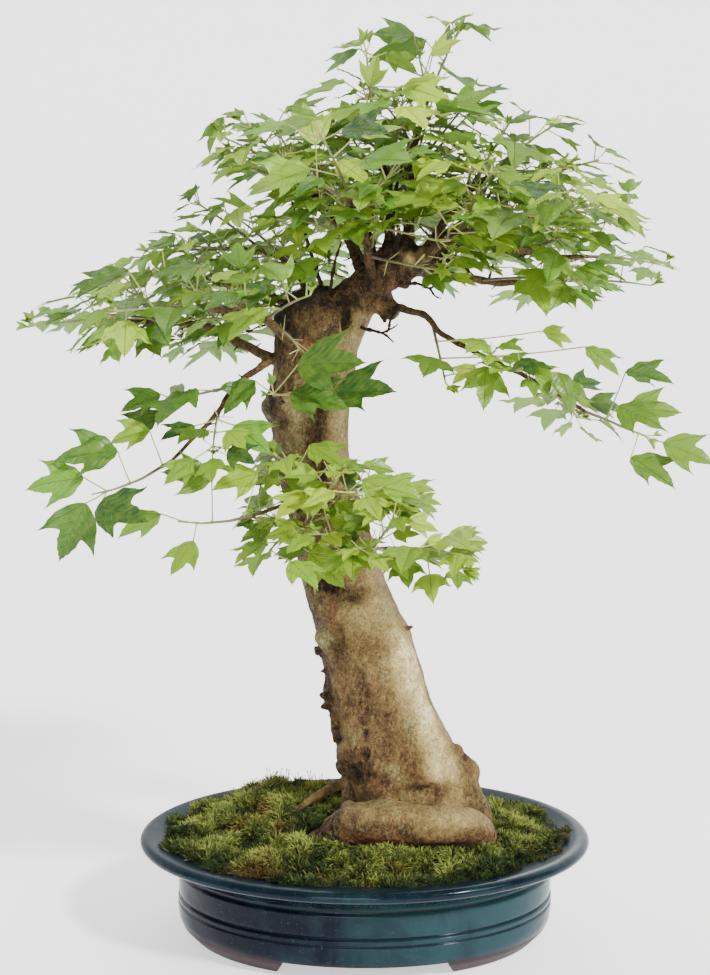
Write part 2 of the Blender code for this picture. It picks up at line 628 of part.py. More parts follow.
def grow_stems(bark):
    """Leafy stems along each bough, each clear of the bark and of the stems before it."""
    names = [(bough, n) for bough in BOUGHS for n in range(BOUGHS[bough][3])]
    stems = [Stem(f"{bough}_{n + 1}", bough, SHOOTS[f"{bough}_{n + 1}"]).leave(bark)
             for bough, n in names if f"{bough}_{n + 1}" in SHOOTS]
    trees = [stem.keep_out() for stem in stems]
    for bough, n in names:
        if f"{bough}_{n + 1}" in SHOOTS:
            continue
        draw = random.Random(f"stem {bough} {n}")
        for _ in range(STEM_TRIES):
            stem = draft_stem(bough, n, draw).leave(bark)
            tree = stem.keep_out()
            if stem.start * stem.length < LONGEST_BURIED and not any(
                    tree.overlap(other) for other in trees):
                stems.append(stem)
                trees.append(tree)
                break
    return stems, trees


class Crown:
    """All that is placed so far, to keep the next leaf clear of it."""

    def __init__(self, bark, stems, trees):
        self.bark, self.kept = bark, []
        self.stems = list(zip(stems, trees))

    def is_free(self, stem, leaf):
        blade, stalk = leaf.keep_out()
        if blade.overlap(self.bark) or stalk.overlap(self.bark):
            return False
        for other, tree in self.stems:
            if blade.overlap(tree) or (other is not stem and stalk.overlap(tree)):
                return False
        reach = 1.2 * leaf.length + (leaf.end - leaf.start).length
        for middle, other_reach, other_blade, other_stalk in self.kept:
            if (middle - leaf.end).length > reach + other_reach:
                continue
            if blade.overlap(other_blade) or blade.overlap(other_stalk):
                return False
            if stalk.overlap(other_blade) or stalk.overlap(other_stalk):
                return False
        return True

    def place(self, stem, leaf, share):
        """Keeps the leaf on a free face of the stem if it is clear of all that is there."""
        taken = [face for at, face, _ in stem.leaves if at == share]
        face = stem.face_of(share, leaf.end - leaf.start)
        if face in taken or share != stem.nearest_node(share) or not self.is_free(stem, leaf):
            return False
        self.kept.append((leaf.end, 1.2 * leaf.length + (leaf.end - leaf.start).length,
                          *leaf.keep_out()))
        stem.leaves.append((share, face, leaf))
        return True


def tilted_up(point, draw, to_front):
    """Which way a blade faces: up, tipped outwards from the trunk and towards the light in front."""
    out = Vector((point.x - LEADER[0][-1][0], point.y, 0)).normalized() * FACING_OUT
    return Vector((out.x + draw.uniform(-0.35, 0.35),
                   out.y - to_front + draw.uniform(-0.35, 0.35), 1))


def draft_leaf(stem, share, roll, angle, size, draw, attempt):
    """A leaf on stem at share of its length, roll degrees round it and angle degrees off it."""
    loose = min(attempt, 10) / 10
    roll += draw.uniform(-16, 16) * (1 + 2 * loose)
    angle += draw.uniform(-10, 10) * (1 + 2 * loose)
    foot, along, across, over = stem.frame(share)
    turn, lean = math.radians(roll), math.radians(angle)
    out = across * math.cos(turn) - over * math.sin(turn)
    heading = (along * math.cos(lean) + out * math.sin(lean)).normalized()
    length = stem.leaf_length * size * draw.uniform(0.88, 1.14) * (1 - 0.3 * loose)
    stalk = length * STALK_SHARE * draw.uniform(0.7, 1.25)
    sag = Vector((0, 0, -0.1 - 0.1 * draw.random()))
    end = foot + (heading + sag).normalized() * stalk
    ahead = Vector((heading.x, heading.y, heading.z * 0.4 - draw.uniform(0.15, 0.6)))
    facing = tilted_up(end, draw, stem.to_front)
    return Leaf(foot, end, ahead, facing, length,
                draw.uniform(0.05, 0.36), draw.uniform(0.02, 0.2))


def is_in_view_outline(stem, leaf):
    points = [seen(p) for p in (leaf.end, *leaf.outline())]
    if leaf.end.y < 0 and any(is_inside(WINDOW, *p) for p in points):
        return False
    return all(is_inside(stem.outline, *p) for p in points)


def grow_leaves(bark, stems, trees):
    """The leaves that stand apart, then pairs along each stem and one leaf at its tip."""
    crown = Crown(bark, stems, trees)
    for stem in stems:
        draw = random.Random(f"single {stem.name}")
        for base, tip in SINGLE_LEAVES.get(stem.name, ()):
            base, tip = Vector(base), Vector(tip)
            near = min(range(12), key=lambda k: (stem.at(0.12 + 0.07 * k)[0] - base).length)
            share = 0.12 + 0.07 * near
            for nearby in (share, share - 0.07, share + 0.07, share - 0.14, share + 0.14):
                nearby = stem.nearest_node(nearby)
                leaf = Leaf(stem.at(nearby)[0], base, tip - base,
                            tilted_up(base, draw, SINGLE_FACING_FRONT), (tip - base).length,
                            draw.uniform(0.05, 0.3), draw.uniform(0.02, 0.15))
                if 0.1 < nearby < 0.95 and crown.place(stem, leaf, nearby):
                    break
    for stem in stems:
        if stem.name in SINGLE_LEAVES and stem.name in SHOOTS:
            continue
        pairs = max(2, round(stem.length / NODE_SPACING))
        for pair in range(pairs):
            share = 0.36 + 0.56 * pair / (pairs - 1)
            size = 1.06 - 0.26 * pair / (pairs - 1)
            for side in (0, 1):
                roll = 180 * side + (10 if pair % 2 == 0 else 72) * (1 if side == 0 else -1)
                place_leaf(crown, stem, f"{pair} {side}", share, roll, 60, size)
        place_leaf(crown, stem, "tip", 1, 90, 8, 0.78)


def place_leaf(crown, stem, label, share, roll, angle, size):
    draw = random.Random(f"leaf {stem.name} {label}")
    share = stem.nearest_node(share)
    for attempt in range(LEAF_TRIES):
        leaf = draft_leaf(stem, share, roll, angle, size, draw, attempt)
        if is_in_view_outline(stem, leaf) and crown.place(stem, leaf, share):
            return


def crosses(points, faces, since):
    """Whether a face from number since on cuts one that it has no corner in common with."""
    tree = BVHTree.FromPolygons(points, faces)
    return any(b >= since and a < b and not set(faces[a]) & set(faces[b])
               for a, b in tree.overlap(tree))


def add_leaf(leaf, foot, points, faces):
    """Adds a blade and its stalk, which grows from the three corners in foot, turned so that it
    crosses nothing. Returns whether it could."""
    rim = [leaf.stalk_end()[0], *leaf.outline(), leaf.stalk_end()[2]]
    first, n = len(points), len(rim)
    over, under, keel = first + n, first + n + 1, first + n + 2
    points += [*rim, leaf.place(0, LEAF_HUB, LEAF_THICKNESS / 2),
               leaf.place(0, LEAF_HUB, -LEAF_THICKNESS / 2), leaf.stalk_end()[1]]
    blade = [(first + i, first + (i + 1) % n, over) for i in range(n)]
    blade += [(first + i + 1, first + i, under) for i in range(n - 1)]
    blade += [(first, keel, under), (keel, first + n - 1, under)]
    end = [first, keel, first + n - 1]

    def twist(turn):
        arms = [(points[foot[k]] - leaf.start).normalized() for k in range(3)]
        ends = [(points[end[(k + turn) % 3]] - leaf.end).normalized() for k in range(3)]
        return sum((a - b).length_squared for a, b in zip(arms, ends))

    for turn in sorted(range(3), key=twist):
        turned = end[turn:] + end[:turn]
        stalk = []
        for k in range(3):
            a, b, c, d = foot[k], foot[(k + 1) % 3], turned[(k + 1) % 3], turned[k]
            if (points[a] - points[c]).length < (points[b] - points[d]).length:
                stalk += [(a, b, c), (a, c, d)]
            else:
                stalk += [(a, b, d), (b, c, d)]
        if not crosses(points, faces + blade + stalk, len(faces)):
            faces += blade + stalk
            return True
    del points[first:]
    return False


def spray_mesh(stem):
    """A stem with its leaves as one closed mesh: each stalk grows out of half a face of the stem."""
    half = NODE_LENGTH / 2 / stem.length
    nodes = sorted({share for share, _, _ in stem.leaves if stem.start + 2 * half < share < 1})
    shares = [stem.start]
    for share in nodes:
        shares += [share - half, share + half]
    shares.append(max(1, shares[-1] + half))
    points, faces, feet = [], [], []
    for share in shares:
        points += stem.corners(share)
    for i in range(len(shares) - 1):
        node = nodes[i // 2] if i % 2 and i // 2 < len(nodes) else None
        for k in range(STEM_SIDES):
            a, b = STEM_SIDES * i + k, STEM_SIDES * i + (k + 1) % STEM_SIDES
            c, d = b + STEM_SIDES, a + STEM_SIDES
            faces.append((a, c, d))
            leaf = next((leaf for share, face, leaf in stem.leaves
                         if share == node and face == k), None)
            feet.append((leaf, (a, b, c)))
    last = STEM_SIDES * (len(shares) - 1)
    faces += [(2, 1, 0), (3, 2, 0), (last, last + 1, last + 2)]
    tip = next((leaf for share, _, leaf in stem.leaves if share == 1), None)
    feet.append((tip, (last, last + 2, last + 3)))
    faces += [foot for leaf, foot in feet if not leaf]
    for leaf, foot in feet:
        if leaf and not add_leaf(leaf, foot, points, faces):
            faces.append(foot)
    return points, faces


def bark_tree(trunk):
    """The trunk's surface in millimetres, to find what touches it."""
    mesh = trunk.data
    points = [v.co / MM for v in mesh.vertices]
    return BVHTree.FromPolygons(points, [tuple(face.vertices) for face in mesh.polygons])


def make_sprays(trunk):
    bark = bark_tree(trunk)
    stems, trees = grow_stems(bark)
    grow_leaves(bark, stems, trees)
    for stem in stems:
        points, faces = spray_mesh(stem)
        finish = "young_leaf" if stem.yellow > 0.6 else "leaf"
        new_object("spray_" + stem.name, [p * MM for p in points], faces, finish)
    return stems


def main():
    clear_scene()
    make_pot()
    make_soil()
    make_moss()
    make_sprays(make_trunk())
    for obj in bpy.data.objects:
        obj.data.transform(Matrix.Translation(Vector(PLACE) * MM))


main()
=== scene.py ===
"""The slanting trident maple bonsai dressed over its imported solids.

The leaves, boughs and roots grow again here by the solids' own rules, so that each fine piece
lies where its solid is: true blades with veins, bark with its burls, and strands of moss. Sizes
are named in millimetres, seen from -Y.
"""

import functools
import math
import random

import bpy
import numpy as np
from mathutils import Matrix, Vector, noise
from mathutils.bvhtree import BVHTree
from mathutils.geometry import delaunay_2d_cdt


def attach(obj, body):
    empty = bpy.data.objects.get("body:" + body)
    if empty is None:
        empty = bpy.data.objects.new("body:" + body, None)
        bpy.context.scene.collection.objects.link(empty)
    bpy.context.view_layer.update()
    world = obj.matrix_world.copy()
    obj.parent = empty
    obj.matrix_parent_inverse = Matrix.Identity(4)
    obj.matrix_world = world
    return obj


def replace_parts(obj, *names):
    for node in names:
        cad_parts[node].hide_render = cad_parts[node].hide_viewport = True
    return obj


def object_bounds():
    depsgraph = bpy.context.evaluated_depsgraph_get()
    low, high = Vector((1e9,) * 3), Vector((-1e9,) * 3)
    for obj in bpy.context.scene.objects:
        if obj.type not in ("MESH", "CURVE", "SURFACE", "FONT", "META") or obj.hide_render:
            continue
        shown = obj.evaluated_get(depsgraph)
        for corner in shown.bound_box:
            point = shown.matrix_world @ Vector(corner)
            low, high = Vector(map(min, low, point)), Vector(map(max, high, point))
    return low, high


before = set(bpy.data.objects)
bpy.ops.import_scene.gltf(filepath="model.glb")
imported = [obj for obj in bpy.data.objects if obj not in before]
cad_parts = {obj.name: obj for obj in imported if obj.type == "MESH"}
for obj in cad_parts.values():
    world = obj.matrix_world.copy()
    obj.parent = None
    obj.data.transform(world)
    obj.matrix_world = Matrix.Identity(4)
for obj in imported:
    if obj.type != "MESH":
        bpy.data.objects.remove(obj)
CAD_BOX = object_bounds()
noise.seed_set(5)  # the pattern of noise_vector shifts with it

MM = 0.001
GAP = 0.35  # between pieces that touch
UP = Vector((0, 0, 1))

# Pot: an oval bowl with a wide lip, two raised lines and a foot ring cut away at front and back
LIP_LENGTH, LIP_WIDTH, POT_HEIGHT = 400, 310, 87
FOOT_HEIGHT, FLOOR_TOP = 10, 19
FOOT_DROP = 6  # the foot stands this far below the level that all heights are measured from
PLACE = (6, -2, FOOT_DROP)  # the pot's centre, from the middle under the whole tree
WALL_TOP_INSET = 43  # the inner wall's top edge, inside the lip's outer edge
# How far inside the lip's edge and how high: from under the floor out over the foot, up the
# outside, over the lip and down inside to the floor
POT_PROFILE = (
    (62, FOOT_HEIGHT), (59, -FOOT_DROP), (48.5, -FOOT_DROP), (43, 0), (36.5, 7), (33.5, 15),
    (33, 24), (36.5, 29), (34, 33), (33.5, 54), (36.5, 57.5), (33, 64), (10, 75), (1, 79),
    (0.5, 84), (4, POT_HEIGHT), (34, 82), (WALL_TOP_INSET, 77), (47, 26), (60, FLOOR_TOP),
)
FOOT_GAP_LENGTH, FOOT_GAP_SLOPE = 138, 8
DRAIN_RADIUS, DRAIN_X = 11, 72

# Soil and moss
MOUND_EDGE, MOUND_RISE = 77, 20  # the soil at the wall, and how much higher its middle is
MOSS_DEPTH, MOSS_LUMP = 12, 3.5
MOSS_HILL = (-82, 62, 44, 15)  # where the moss is heaped up: x, y, reach and rise

# Trunk: height, centre x and y, and half widths along x and y, from the root ball up to the old cut
TRUNK = (
    (62, 49, 4, 60, 48), (95, 47, 4, 65, 54), (131, 41, 4, 59, 50), (168, 27, 6, 51, 46),
    (205, 14, 8, 45, 43), (259, 0, 10, 42, 41), (313, -19, 10, 37, 37), (366, -32, 10, 34, 34),
    (419, -46, 8, 33, 33), (471, -47, 6, 34, 34), (515, -42, 5, 36, 35), (548, -41, 5, 31, 30),
    (566, -41, 5, 18, 17),
)
TRUNK_SIDES, TRUNK_STEP = 18, 27
FLUTES, FLUTE_DEPTH, FLUTE_FADE = 7, 0.09, 95
# Burls and hollows: height, bearing in degrees (0 is +X, -90 the front), how far it stands out,
# its half height, and its half width in degrees
BURLS = (
    (466, 188, 9, 13, 24), (259, 232, 7, 13, 20), (392, -50, -5, 16, 20), (313, -100, -6, 14, 22),
    (146, 216, 9, 11, 16), (143, 238, 6, 9, 12), (141, 258, 8, 10, 13), (150, -14, 9, 13, 16),
    (545, 195, 6, 15, 30), (268, -6, 3, 10, 14), (205, 185, 5, 16, 18), (335, 60, 6, 20, 26),
    (240, 120, 5, 22, 24), (180, 80, 8, 20, 22), (500, 60, 6, 18, 26), (520, -100, -4, 16, 34),
)

# Roots and limbs: points, then the radius at each end, with any swelling in between
ROOTS = {
    "front": (((114, -28, 80), (104, -38, 94), (95, -50, 104), (76, -59, 111), (44, -64, 113),
               (10, -63, 115), (-12, -58, 111), (-30, -50, 98), (-48, -42, 70)),
              (8, 12, 16, 19, 20, 20, 18, 13, 8)),
    "left": (((0, 10, 138), (-22, 9, 127), (-40, 5, 118), (-56, 1, 109), (-70, -3, 99),
              (-84, -6, 70)), (9, 7, 5.5, 4.5, 4, 3.5)),
    "right": (((84, 14, 108), (102, 24, 99), (114, 30, 88), (122, 34, 66)), (12, 9, 7.5, 6)),
    "back": (((52, 44, 118), (58, 64, 108), (58, 80, 98), (53, 86, 66)), (14, 11, 9, 6)),
    "back_left": (((14, 36, 120), (-8, 54, 110), (-26, 68, 100), (-46, 82, 66)), (13, 10, 8, 6)),
}
LEADER = (
    ((-32, 5, 515), (-20, 5, 540), (-6, 5, 560), (12, 9, 577), (28, 13, 588), (46, 16, 592)),
    (24, 23, 19, 17, 19, 14),
)
# Limbs that carry the leafy stems: points, radius at the base and at the tip, leafy stems,
# blade length, how yellow the leaves are from 0 to 1, and the outline that they stay in
BOUGHS = {
    "left": (((-60, 4, 500), (-91, -10, 513), (-127, -20, 534), (-165, -14, 538),
              (-206, -8, 540)), 5.5, 2.4, 5, 44, 0.2, "crown"),
    "left_up": (((-42, 8, 548), (-60, 20, 584), (-84, 24, 598), (-116, 20, 600)),
                5, 2, 3, 42, 0.15, "crown"),
    "left_crown": (((0, 12, 572), (-14, 28, 608), (-32, 30, 634), (-52, 22, 654), (-78, 8, 672)),
                   5.5, 2, 4, 42, 0.1, "crown"),
    "apex_left": (((20, 14, 588), (22, 20, 634), (17, 12, 668), (8, 0, 704)),
                  6, 2.2, 2, 46, 0.3, "crown"),
    "apex": (((34, 16, 590), (40, 30, 645), (42, 36, 684), (50, 28, 714)),
             6, 2.2, 3, 54, 0.15, "crown"),
    "right_up": (((46, 14, 590), (66, 2, 622), (84, -8, 644), (106, -14, 664)),
                 5, 2, 3, 42, 0.35, "crown"),
    "right_high": (((50, 20, 592), (84, 30, 622), (116, 30, 644), (146, 22, 658)),
                   5, 2, 3, 42, 0.35, "crown"),
    "right": (((48, 12, 588), (80, 0, 606), (112, -16, 618), (136, -26, 626), (162, -32, 632)),
              7.5, 2.2, 4, 42, 0.4, "crown"),
    "right_low": (((100, -10, 613), (131, -6, 600), (160, 0, 594), (190, 6, 594)),
                  5, 2, 2, 44, 0.4, "crown"),
    "right_back": (((44, 20, 582), (90, 44, 574), (136, 60, 570), (178, 64, 572)),
                   5, 2, 2, 46, 0.35, "crown"),
    "right_drop": (((4, 4, 552), (30, -3, 551), (52, -9, 544), (63, -14, 531), (90, -24, 516),
                    (140, -38, 493), (184, -44, 466)), 3.8, 1.8, 2, 46, 0.5, "right_low"),
    "left_drop": (((-80, -6, 508), (-108, -40, 486), (-128, -66, 460), (-158, -84, 430)),
                  3.4, 1.5, 2, 48, 0.05, "left_low"),
    "left_twig": (((-50, -10, 388), (-70, -46, 386), (-94, -70, 382)), 2.4, 1.5, 1, 42, 0.5,
                  "left_low"),
    "front_left": (((-62, -16, 522), (-88, -60, 546), (-122, -88, 552)), 5, 2, 3, 46, 0.1, "crown"),
    "front_crown": (((6, -2, 574), (0, -40, 610), (-12, -76, 640)), 5, 2, 2, 46, 0, "crown"),
    "front_right": (((42, 4, 590), (74, -44, 610), (104, -78, 622)), 5, 2, 2, 46, 0.4, "crown"),
    "back_left": (((-46, 24, 526), (-78, 68, 556), (-110, 90, 566)), 5, 2, 2, 46, 0.2, "crown"),
    "back_crown": (((8, 20, 584), (2, 58, 620), (-10, 84, 640)), 5, 2, 2, 46, 0.2, "crown"),
    "back_right": (((40, 24, 588), (68, 62, 604), (104, 86, 610)), 5, 2, 2, 46, 0.2, "crown"),
    "middle_right": (((-22, -14, 346), (-4, -44, 350), (20, -64, 354)), 3, 1.5, 2, 40, 0.9,
                     "middle"),
    "middle_left": (((-46, -12, 366), (-58, -42, 366)), 2.6, 1.5, 1, 42, 0.8, "middle"),
    "middle_up": (((-34, -16, 384), (-28, -48, 394)), 2.6, 1.5, 2, 40, 0.9, "middle"),
    "spur": (((-66, -6, 470), (-74, -40, 478)), 2.6, 1.6, 1, 58, -0.5, "spur"),
}
BOUGH_SIDES, ROOT_SIDES, LEADER_SIDES = 5, 8, 10
TWIG_SIDES, TWIG_RADIUS = 4, 4  # limbs thinner than this at the base have fewer sides
ROOT_STEPS = 9

# The crown as it was pruned, seen from the front: x and z where each line of sight from the
# viewpoint crosses the upright plane through the pot's middle
VIEWPOINT = (-9, -1475, 608)
OUTLINES = {
    "crown": (
        (48, 806), (80, 804), (120, 784), (90, 750), (110, 740), (152, 732), (196, 700),
        (232, 670), (250, 624), (276, 586), (226, 564), (200, 554), (168, 520), (116, 528),
        (64, 532), (30, 524), (26, 548), (-22, 564), (-56, 554), (-72, 520), (-108, 478),
        (-146, 466), (-184, 480), (-192, 506), (-264, 498), (-266, 516), (-240, 524),
        (-312, 536), (-288, 550), (-278, 568), (-236, 588), (-186, 606), (-188, 624),
        (-160, 644), (-174, 680), (-146, 686), (-116, 724), (-64, 730), (-38, 748),
        (-36, 774), (8, 794),
    ),
    "left_low": (
        (-190, 512), (-80, 516), (-66, 472), (-66, 410), (-72, 358), (-178, 348), (-266, 344),
        (-294, 380), (-292, 438), (-220, 468),
    ),
    "right_low": (
        (28, 524), (116, 532), (166, 524), (202, 528), (264, 506), (298, 436), (274, 404),
        (238, 404), (168, 436), (116, 462), (74, 482), (34, 500),
    ),
    "middle": (
        (-88, 450), (26, 450), (74, 412), (116, 368), (102, 314), (70, 294), (4, 294),
        (-70, 294), (-124, 330), (-112, 384),
    ),
    "spur": ((-90, 540), (34, 540), (34, 440), (-90, 440)),
}
# The old cut and the leader show through a window that no leaf hangs in front of
WINDOW = (
    (-70, 566), (-38, 570), (2, 586), (22, 620), (62, 628), (72, 596), (34, 564), (26, 540),
    (0, 522), (-70, 530),
)

# Leafy stems: a pair of leaves at each node, turned across the pair before it
STEM_LENGTH, SHORTEST_STEM, STEM_MARGIN = 84, 30, 14
BOUGH_STEPS = 32  # places along a bough that a stem may grow from
STEM_RADIUS, STEM_TIP_RADIUS, STEM_SIDES = 1.6, 1.0, 4
STEM_ANGLE, STEM_RISE = 50, 14  # degrees from the bough, and above it
NODE_SPACING, NODE_APART = 25, 7
PAIR_TURNS, TIP_ANGLE = (10, 72), 8  # degrees round the stem by turns, and off its tip
STALK_RADIUS, STALK_SHARE = 0.75, 0.6  # a stalk's length as a share of its blade's
LEAF_THICKNESS = 1.6
LEAF_TRIES = 26
STEM_TRIES, LONGEST_BURIED = 24, 22
CLEAR = 1.2  # kept around each blade and stalk, all ways
FACING_OUT, FACING_FRONT = 0.32, 0.1  # how far the blades tip over, per unit up
LOW_FACING_FRONT = 0.5
SINGLE_FACING_FRONT = 0.9
# Right half of the three-lobed outline for a blade 1 long: shoulder, side lobe's tip, notch
LEAF_HALF = ((0.34, 0.24), (0.52, 0.68), (0.18, 0.585))
LEAF_HUB = 0.36  # where the three main veins part

# Long shoots, and the leaves on them that stand apart: the blade's base and its tip
SHOOTS = {
    "left_drop_1": ((-158, -84, 430), (-182, -94, 416), (-204, -98, 408), (-222, -98, 404)),
    "left_drop_2": ((-108, -40, 486), (-124, -40, 484), (-142, -44, 480), (-158, -50, 474)),
    "left_twig_1": ((-94, -70, 382), (-112, -78, 379), (-134, -84, 378), (-154, -86, 380)),
    "right_drop_1": ((184, -44, 466), (200, -46, 460), (218, -46, 452), (234, -46, 446)),
    "spur_1": ((-74, -40, 478), (-76, -58, 481), (-75, -72, 484)),
}
SINGLE_LEAVES = {
    "left_drop_1": (
        ((-200, -100, 440), (-249, -112, 438)), ((-226, -112, 420), (-272, -118, 414)),
        ((-176, -84, 455), (-208, -92, 448)), ((-228, -92, 396), (-250, -106, 352)),
        ((-214, -120, 398), (-172, -146, 392)),
    ),
    "left_twig_1": (
        ((-125, -92, 416), (-164, -100, 424)), ((-88, -86, 420), (-124, -102, 412)),
        ((-168, -84, 386), (-202, -98, 370)),
        ((-140, -98, 366), (-158, -116, 342)),
    ),
    "right_drop_1": (
        ((216, -50, 500), (254, -64, 496)), ((208, -62, 472), (240, -88, 462)),
        ((222, -26, 467), (268, -28, 466)), ((248, -62, 442), (290, -72, 428)),
        ((220, -62, 430), (254, -84, 410)),
    ),
    "right_drop_2": (
        ((99, -60, 505), (97, -84, 474)), ((160, -60, 500), (171, -84, 470)),
        ((130, -70, 460), (158, -92, 436)),
        ((184, -40, 520), (212, -56, 500)), ((150, -20, 532), (178, -16, 524)),
    ),
    "spur_1": (
        ((-55, -84, 508), (-4, -112, 516)), ((-60, -86, 486), (-14, -110, 476)),
        ((-26, -60, 484), (24, -84, 488)), ((-76, -84, 496), (-60, -94, 534)),
        ((-92, -62, 494), (-118, -78, 470)),
    ),
}


def link_object(name, data):
    obj = bpy.data.objects.new(name, data)
    bpy.context.scene.collection.objects.link(obj)
    return obj


def new_object(name, points, faces):
    """A smooth object from points in metres."""
    mesh = bpy.data.meshes.new(name)
    mesh.from_pydata([tuple(p) for p in points], [], faces)
    mesh.shade_smooth()
    return link_object(name, mesh)


def apply_all(obj):
    """Applies all of the object's modifiers."""
    bpy.context.view_layer.update()
    graph = bpy.context.evaluated_depsgraph_get()
    mesh = bpy.data.meshes.new_from_object(obj.evaluated_get(graph))
    obj.modifiers.clear()
    obj.data = mesh


def apply_boolean(obj, others, operation):
    """Joins or cuts obj with all the others at once, then removes them."""
    group = bpy.data.collections.new(obj.name + "_others")
    bpy.context.scene.collection.children.link(group)
    for other in others:
        bpy.context.scene.collection.objects.unlink(other)
        group.objects.link(other)
    modifier = obj.modifiers.new(operation, "BOOLEAN")
    modifier.operation = operation
    modifier.operand_type = "COLLECTION"
    modifier.collection = group
    modifier.solver = "EXACT"
    apply_all(obj)
    for other in others:
        bpy.data.objects.remove(other)
    bpy.data.collections.remove(group)
    return obj


def smooth_path(points, count):
    """count points along a Catmull-Rom curve through the given ones, evenly spread by index."""
    rows = [np.array(p, float) for p in points]
    rows = [2 * rows[0] - rows[1], *rows, 2 * rows[-1] - rows[-2]]
    out = []
    for s in np.linspace(0, len(points) - 1, count):
        i = min(int(s), len(points) - 2)
        a, b, c, d = rows[i : i + 4]
        t = s - i
        out.append(0.5 * (2 * b + (c - a) * t + (2 * a - 5 * b + 4 * c - d) * t * t
                          + (3 * b - a - 3 * c + d) * t ** 3))
    return out


def ring_faces(rings, sides):
    """Triangles between rings of points that follow one another."""
    faces = []
    for i in range(rings - 1):
        for k in range(sides):
            a, b = i * sides + k, i * sides + (k + 1) % sides
            faces += [(a, b, b + sides), (a, b + sides, a + sides)]
    return faces


def tube(path, radii, sides):
    """Points and faces of a closed round limb along path, in the path's own units."""
    path = [Vector(p) for p in path]
    across, points = None, []
    for i, here in enumerate(path):
        ahead = (path[min(i + 1, len(path) - 1)] - path[max(i - 1, 0)]).normalized()
        if across is None:
            across = ahead.cross(UP if abs(ahead.z) < 0.9 else Vector((1, 0, 0))).normalized()
        across = (across - ahead * across.dot(ahead)).normalized()
        over = ahead.cross(across)
        for k in range(sides):
            turn = 2 * math.pi * k / sides
            out = across * math.cos(turn) + over * math.sin(turn)
            points.append(here + out * radii[i])
    faces = ring_faces(len(path), sides)
    faces.append(tuple(range(sides - 1, -1, -1)))
    faces.append(tuple(range(len(points) - sides, len(points))))
    return points, faces


def row_tube(rows, sides):
    """A tube in metres through rows of x, y, z and radius in millimetres."""
    return tube([Vector(row[:3]) * MM for row in rows], [row[3] * MM for row in rows], sides)


def limb(points, radii, steps, sides):
    """A tube through points with a radius given at each of them, both smoothed, in metres."""
    return row_tube(smooth_path([(*p, r) for p, r in zip(points, radii)], steps), sides)


def oval_body(rings, sides):
    """A closed body from ovals (half length, half width, height), where height may be a function
    of x and y. The first and the last oval are closed with a fan. All in millimetres."""
    points, faces = [], ring_faces(len(rings), sides)

    def height(z, x, y):
        return z(x, y) if callable(z) else z

    for half_x, half_y, z in rings:
        for k in range(sides):
            turn = 2 * math.pi * k / sides
            x, y = half_x * math.cos(turn), half_y * math.sin(turn)
            points.append(Vector((x, y, height(z, x, y))) * MM)
    for ring, flip in ((0, True), (len(rings) - 1, False)):
        points.append(Vector((0, 0, height(rings[ring][2], 0, 0))) * MM)
        for k in range(sides):
            a, b = ring * sides + k, ring * sides + (k + 1) % sides
            faces.append((b, a, len(points) - 1) if flip else (a, b, len(points) - 1))
    return points, faces


def inset_oval(inset, z):
    return (LIP_LENGTH / 2 - inset, LIP_WIDTH / 2 - inset, z)


def soil_height(x, y):
    share = np.hypot(x / (LIP_LENGTH / 2 - WALL_TOP_INSET), y / (LIP_WIDTH / 2 - WALL_TOP_INSET))
    return MOUND_EDGE + MOUND_RISE * np.maximum(0, 1 - share * share)


def moss_lumps(x, y):
    """Cushions of moss, from a few crossing waves, between -1 and 1."""
    return (np.sin(x / 17 + 1.3 * np.sin(y / 23)) * np.cos(y / 15 + np.sin(x / 31))
            + 0.5 * np.sin(x / 8 + 2) * np.sin(y / 9 + x / 40)) / 1.5


def moss_height(x, y):
    cx, cy, reach, rise = MOSS_HILL
    hill = rise * np.exp(-((x - cx) ** 2 + (y - cy) ** 2) / reach ** 2)
    return soil_height(x, y) + MOSS_DEPTH + hill + MOSS_LUMP * moss_lumps(x, y)


@functools.lru_cache(maxsize=None)
def trunk_station(z):
    """Centre and half widths of the trunk at height z."""
    heights = [row[0] for row in TRUNK]
    i = min(max(np.searchsorted(heights, z) - 1, 0), len(TRUNK) - 2)
    share = (z - heights[i]) / (heights[i + 1] - heights[i])
    share = min(max(share, -0.5), 1)
    rows = smooth_path([row[1:] for row in TRUNK], (len(TRUNK) - 1) * 8 + 1)
    place = (i + share) * 8
    low = min(max(int(place), 0), len(rows) - 2)
    return rows[low] + (rows[low + 1] - rows[low]) * (place - low)


def trunk_point(z, bearing):
    """A point on the bark at height z, bearing radians round from +X, in millimetres."""
    cx, cy, half_x, half_y = trunk_station(z)
    flute = FLUTE_DEPTH * math.exp(-(z - 85) / FLUTE_FADE) * math.cos(FLUTES * bearing + z / 60)
    out = 1 + min(flute, FLUTE_DEPTH)
    bump = 0.0
    for height, at, rise, half_z, half_deg in BURLS:
        turn = (bearing - math.radians(at) + math.pi) % (2 * math.pi) - math.pi
        near = ((z - height) / half_z) ** 2 + (turn / math.radians(half_deg)) ** 2
        bump += rise * math.exp(-near)
    x, y = math.cos(bearing), math.sin(bearing)
    return Vector((cx + x * (half_x * out + bump), cy + y * (half_y * out + bump), z))


def trunk_skin(sides=TRUNK_SIDES, step=TRUNK_STEP):
    """Points and faces of the trunk from its root ball to the old cut, in metres."""
    low, high = TRUNK[0][0], TRUNK[-1][0]
    count = round((high - low) / step)
    heights = [low + (high - low) * i / count for i in range(count + 1)]
    points = [trunk_point(z, 2 * math.pi * k / sides) * MM for z in heights for k in range(sides)]
    faces = ring_faces(count + 1, sides)
    crown = trunk_station(high)
    points.append(Vector((crown[0], crown[1], high + 4)) * MM)
    top = count * sides
    faces += [(top + k, top + (k + 1) % sides, len(points) - 1) for k in range(sides)]
    faces.append(tuple(range(sides - 1, -1, -1)))
    return points, faces


